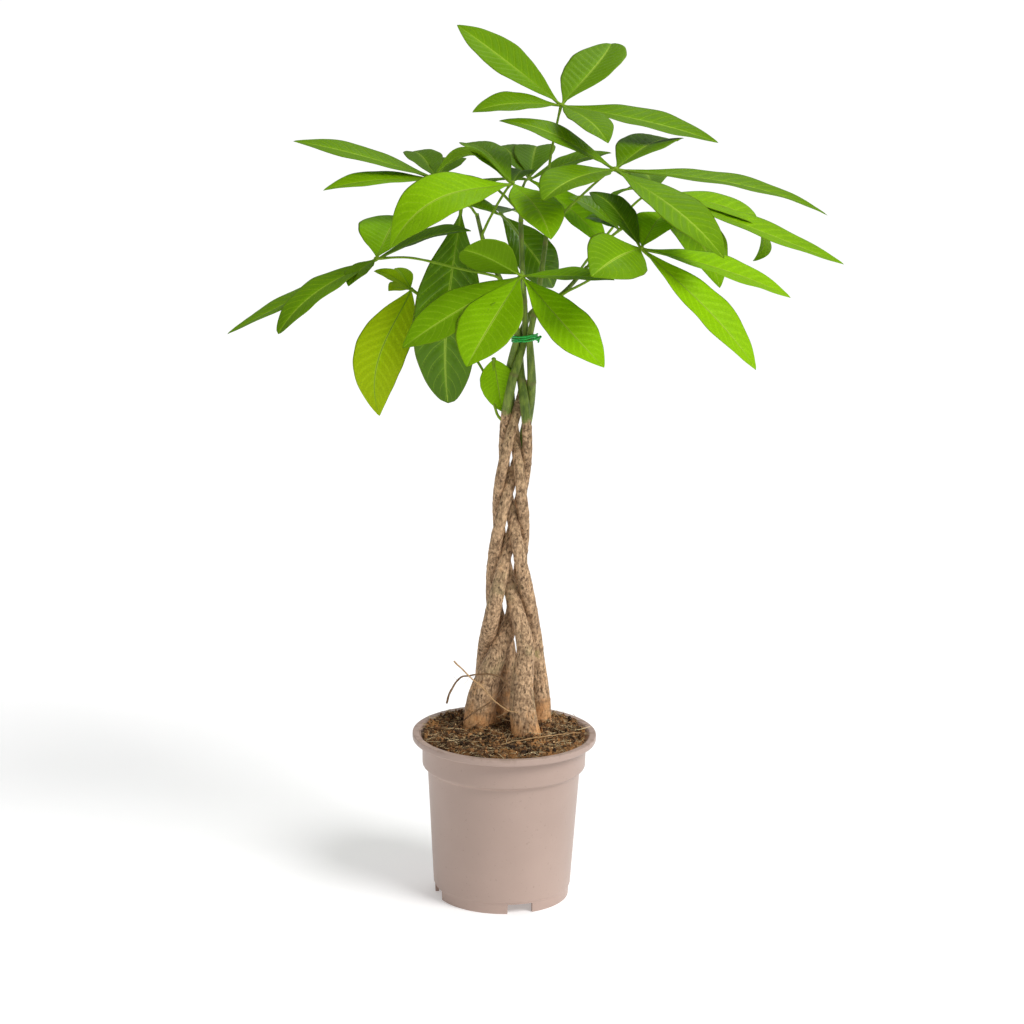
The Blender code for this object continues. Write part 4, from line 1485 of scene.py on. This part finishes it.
def swatch(name, description, default):
    """A colour that a user can change, in linear red, green and blue."""
    return FloatVectorProperty(
        name=name, description=description, default=default, subtype="COLOR", min=0, max=1
    )


def distance(name, description, default):
    """A length that a user can change, in metres."""
    return FloatProperty(name=name, description=description, default=default, unit="LENGTH")


def number_of(name, description, default, least):
    """A count that a user can change."""
    return IntProperty(name=name, description=description, default=default, min=least)


class PotSettings(bpy.types.PropertyGroup):
    facets: number_of("Facets", "Flats round the pot", 168, 24)
    deep: swatch("Deep", "The plastic's deeper colour", (0.420, 0.302, 0.252))
    pale: swatch("Pale", "The plastic's paler colour", (0.465, 0.338, 0.284))


class CompostSettings(bpy.types.PropertyGroup):
    level: distance("Level", "Height of the compost", 0.1722)
    mound: distance("Mound", "Rise to the middle", 0.0065)
    roughness: distance("Roughness", "Height of its lumps", 0.0042)
    crumbs: number_of("Crumbs", "Number of loose crumbs", 3000, 1)
    fibres: number_of("Fibres", "Number of fibres", 2000, 2)
    chips: number_of("Chips", "Number of bark chips", 420, 1)
    deep: swatch("Deep", "The bed's deeper colour", (0.030, 0.012, 0.004))
    pale: swatch("Pale", "The bed's paler colour", (0.400, 0.185, 0.062))


class TrunkSettings(bpy.types.PropertyGroup):
    soil_level: distance("Compost", "Height at which the stems come out", 0.172)
    flare: FloatProperty(
        name="Flare", description="How far the feet spread", default=0.16, subtype="FACTOR"
    )
    ring_gap: distance("Ring gap", "Gap between a stem's rings of points", 0.0021)
    stem_sides: number_of("Sides", "Flats round a stem", 30, 6)
    bark_deep: swatch("Bark, deep", "The bark's deeper colour", (0.225, 0.135, 0.072))
    bark_pale: swatch("Bark, pale", "The bark's paler colour", (0.740, 0.490, 0.285))
    skin_deep: swatch("Green, deep", "The young skin's deeper colour", (0.075, 0.125, 0.014))
    skin_pale: swatch("Green, pale", "The young skin's paler colour", (0.230, 0.310, 0.045))
    thickness: distance("Twine", "Twine's thickness", 0.0019)
    twine_deep: swatch("Twine, deep", "The twine's deeper colour", (0.0, 0.200, 0.025))
    twine_pale: swatch("Twine, pale", "The twine's paler colour", (0.008, 0.560, 0.080))
    root_thickness: distance("Root", "A loose root's thickness", 0.0014)
    hair_roots: number_of("Hair roots", "Hair roots on each loose root", 4, 0)
    root_deep: swatch("Root, deep", "The roots' deeper colour", (0.090, 0.045, 0.020))
    root_pale: swatch("Root, pale", "The roots' paler colour", (0.640, 0.400, 0.190))


class LeafSettings(bpy.types.PropertyGroup):
    blade_along: number_of("Along", "Cells along a blade", 64, 8)
    blade_across: number_of("Across", "Cells across half a blade", 13, 3)
    blade_thickness: distance("Thickness", "A blade's thickness", 0.00045)
    quilting: distance("Quilting", "Rise between the side veins", 0.0009)
    waviness: distance("Waviness", "Height of the margins' waves", 0.0006)
    deep: swatch("Deep", "An old blade's colour", (0.066, 0.155, 0.001))
    mid: swatch("Mid", "A grown blade's colour", (0.138, 0.290, 0.001))
    # The palest green, reached at the top of a leaflet's tone, so partly painted backlit glow.
    fresh: swatch("Fresh", "A young blade's colour", (0.310, 0.620, 0.002))
    yellow: swatch("Yellow", "A fading blade's colour", (0.440, 0.610, 0.003))


class StageSettings(bpy.types.PropertyGroup):
    camera_lens: FloatProperty(
        name="Lens", description="Focal length", default=108.5, unit="CAMERA"
    )
    camera_pitch: FloatProperty(
        name="Pitch", description="Turn down", default=math.radians(13.67), subtype="ANGLE"
    )
    camera_roll: FloatProperty(
        name="Roll", description="Turn about its line", default=math.radians(1), subtype="ANGLE"
    )
    surround: FloatProperty(name="Surround", description="Light from all round", default=0.38)
    key_strength: FloatProperty(
        name="Key", description="Light from the right, in W/m2", default=2.25
    )
    key_softness: FloatProperty(
        name="Softness", description="Key's own width", default=math.radians(28), subtype="ANGLE"
    )
    back_power: FloatProperty(
        name="Back", description="Light from above and behind", default=10.0, unit="POWER"
    )
    back_size: distance("Back's size", "Width of the light behind", 1.2)
    floor_color: swatch("Floor", "The floor's colour", (0.90, 0.90, 0.90))
    floor_glow: FloatProperty(name="Floor glow", description="The floor's own light", default=0.27)


GROUPS = {
    "tree_pot": PotSettings,
    "tree_compost": CompostSettings,
    "tree_trunk": TrunkSettings,
    "tree_leaves": LeafSettings,
    "tree_stage": StageSettings,
}


class OBJECT_OT_tree_pot(bpy.types.Operator):
    """Turns the nursery pot, with its foot notches and drain holes"""

    bl_idname = "object.tree_pot"
    bl_label = "Nursery pot"

    def execute(self, context):
        add_pot(context.scene.tree_pot)
        return {"FINISHED"}


class OBJECT_OT_tree_compost(bpy.types.Operator):
    """Fills the pot with compost, and scatters its crumbs, fibres and chips"""

    bl_idname = "object.tree_compost"
    bl_label = "Compost"

    def execute(self, context):
        settings = context.scene.tree_compost
        add_compost(settings)
        add_crumbs(settings)
        add_fibres(settings)
        add_chips(settings)
        return {"FINISHED"}


class OBJECT_OT_tree_trunk(bpy.types.Operator):
    """Plaits the five stems"""

    bl_idname = "object.tree_trunk"
    bl_label = "Trunk"

    def execute(self, context):
        add_trunk(context.scene.tree_trunk)
        return {"FINISHED"}


class OBJECT_OT_tree_roots(bpy.types.Operator):
    """Adds the roots at the stems' feet and the loose ones"""

    bl_idname = "object.tree_roots"
    bl_label = "Roots"

    def execute(self, context):
        add_foot_roots(context.scene.tree_trunk)
        add_roots(context.scene.tree_trunk)
        return {"FINISHED"}


class OBJECT_OT_tree_tie(bpy.types.Operator):
    """Winds the twine round the plait's top"""

    bl_idname = "object.tree_tie"
    bl_label = "Tie"

    def execute(self, context):
        add_tie(context.scene.tree_trunk)
        return {"FINISHED"}


class OBJECT_OT_tree_leaves(bpy.types.Operator):
    """Grows every leaf"""

    bl_idname = "object.tree_leaves"
    bl_label = "Leaves"

    def execute(self, context):
        add_leaves(context.scene.tree_leaves, context.scene.tree_trunk)
        return {"FINISHED"}


class OBJECT_OT_tree_stage(bpy.types.Operator):
    """Sets up the floor, the lights and the camera"""

    bl_idname = "object.tree_stage"
    bl_label = "Stage"

    def execute(self, context):
        add_stage(context.scene.tree_stage)
        return {"FINISHED"}


STEPS = (
    OBJECT_OT_tree_stage,
    OBJECT_OT_tree_pot,
    OBJECT_OT_tree_compost,
    OBJECT_OT_tree_trunk,
    OBJECT_OT_tree_roots,
    OBJECT_OT_tree_tie,
    OBJECT_OT_tree_leaves,
)


class VIEW3D_PT_money_tree(bpy.types.Panel):
    """Lists the steps and their settings"""

    bl_label = "Money tree"
    bl_space_type = "VIEW_3D"
    bl_region_type = "UI"
    bl_category = "Money tree"

    def draw(self, context):
        for step in STEPS:
            self.layout.operator(step.bl_idname)
        for name, group in GROUPS.items():
            box = self.layout.box()
            for key in group.__annotations__:
                box.prop(getattr(context.scene, name), key)


def register():
    for name, group in GROUPS.items():
        bpy.utils.register_class(group)
        setattr(bpy.types.Scene, name, PointerProperty(type=group))
    for step in (*STEPS, VIEW3D_PT_money_tree):
        bpy.utils.register_class(step)


def unregister():
    for step in (*STEPS, VIEW3D_PT_money_tree):
        bpy.utils.unregister_class(step)
    for name, group in GROUPS.items():
        delattr(bpy.types.Scene, name)
        bpy.utils.unregister_class(group)


def main():
    register()
    for step in STEPS:
        group, action = step.bl_idname.split(".")
        getattr(getattr(bpy.ops, group), action)()


if __name__ == "__main__":
    main()
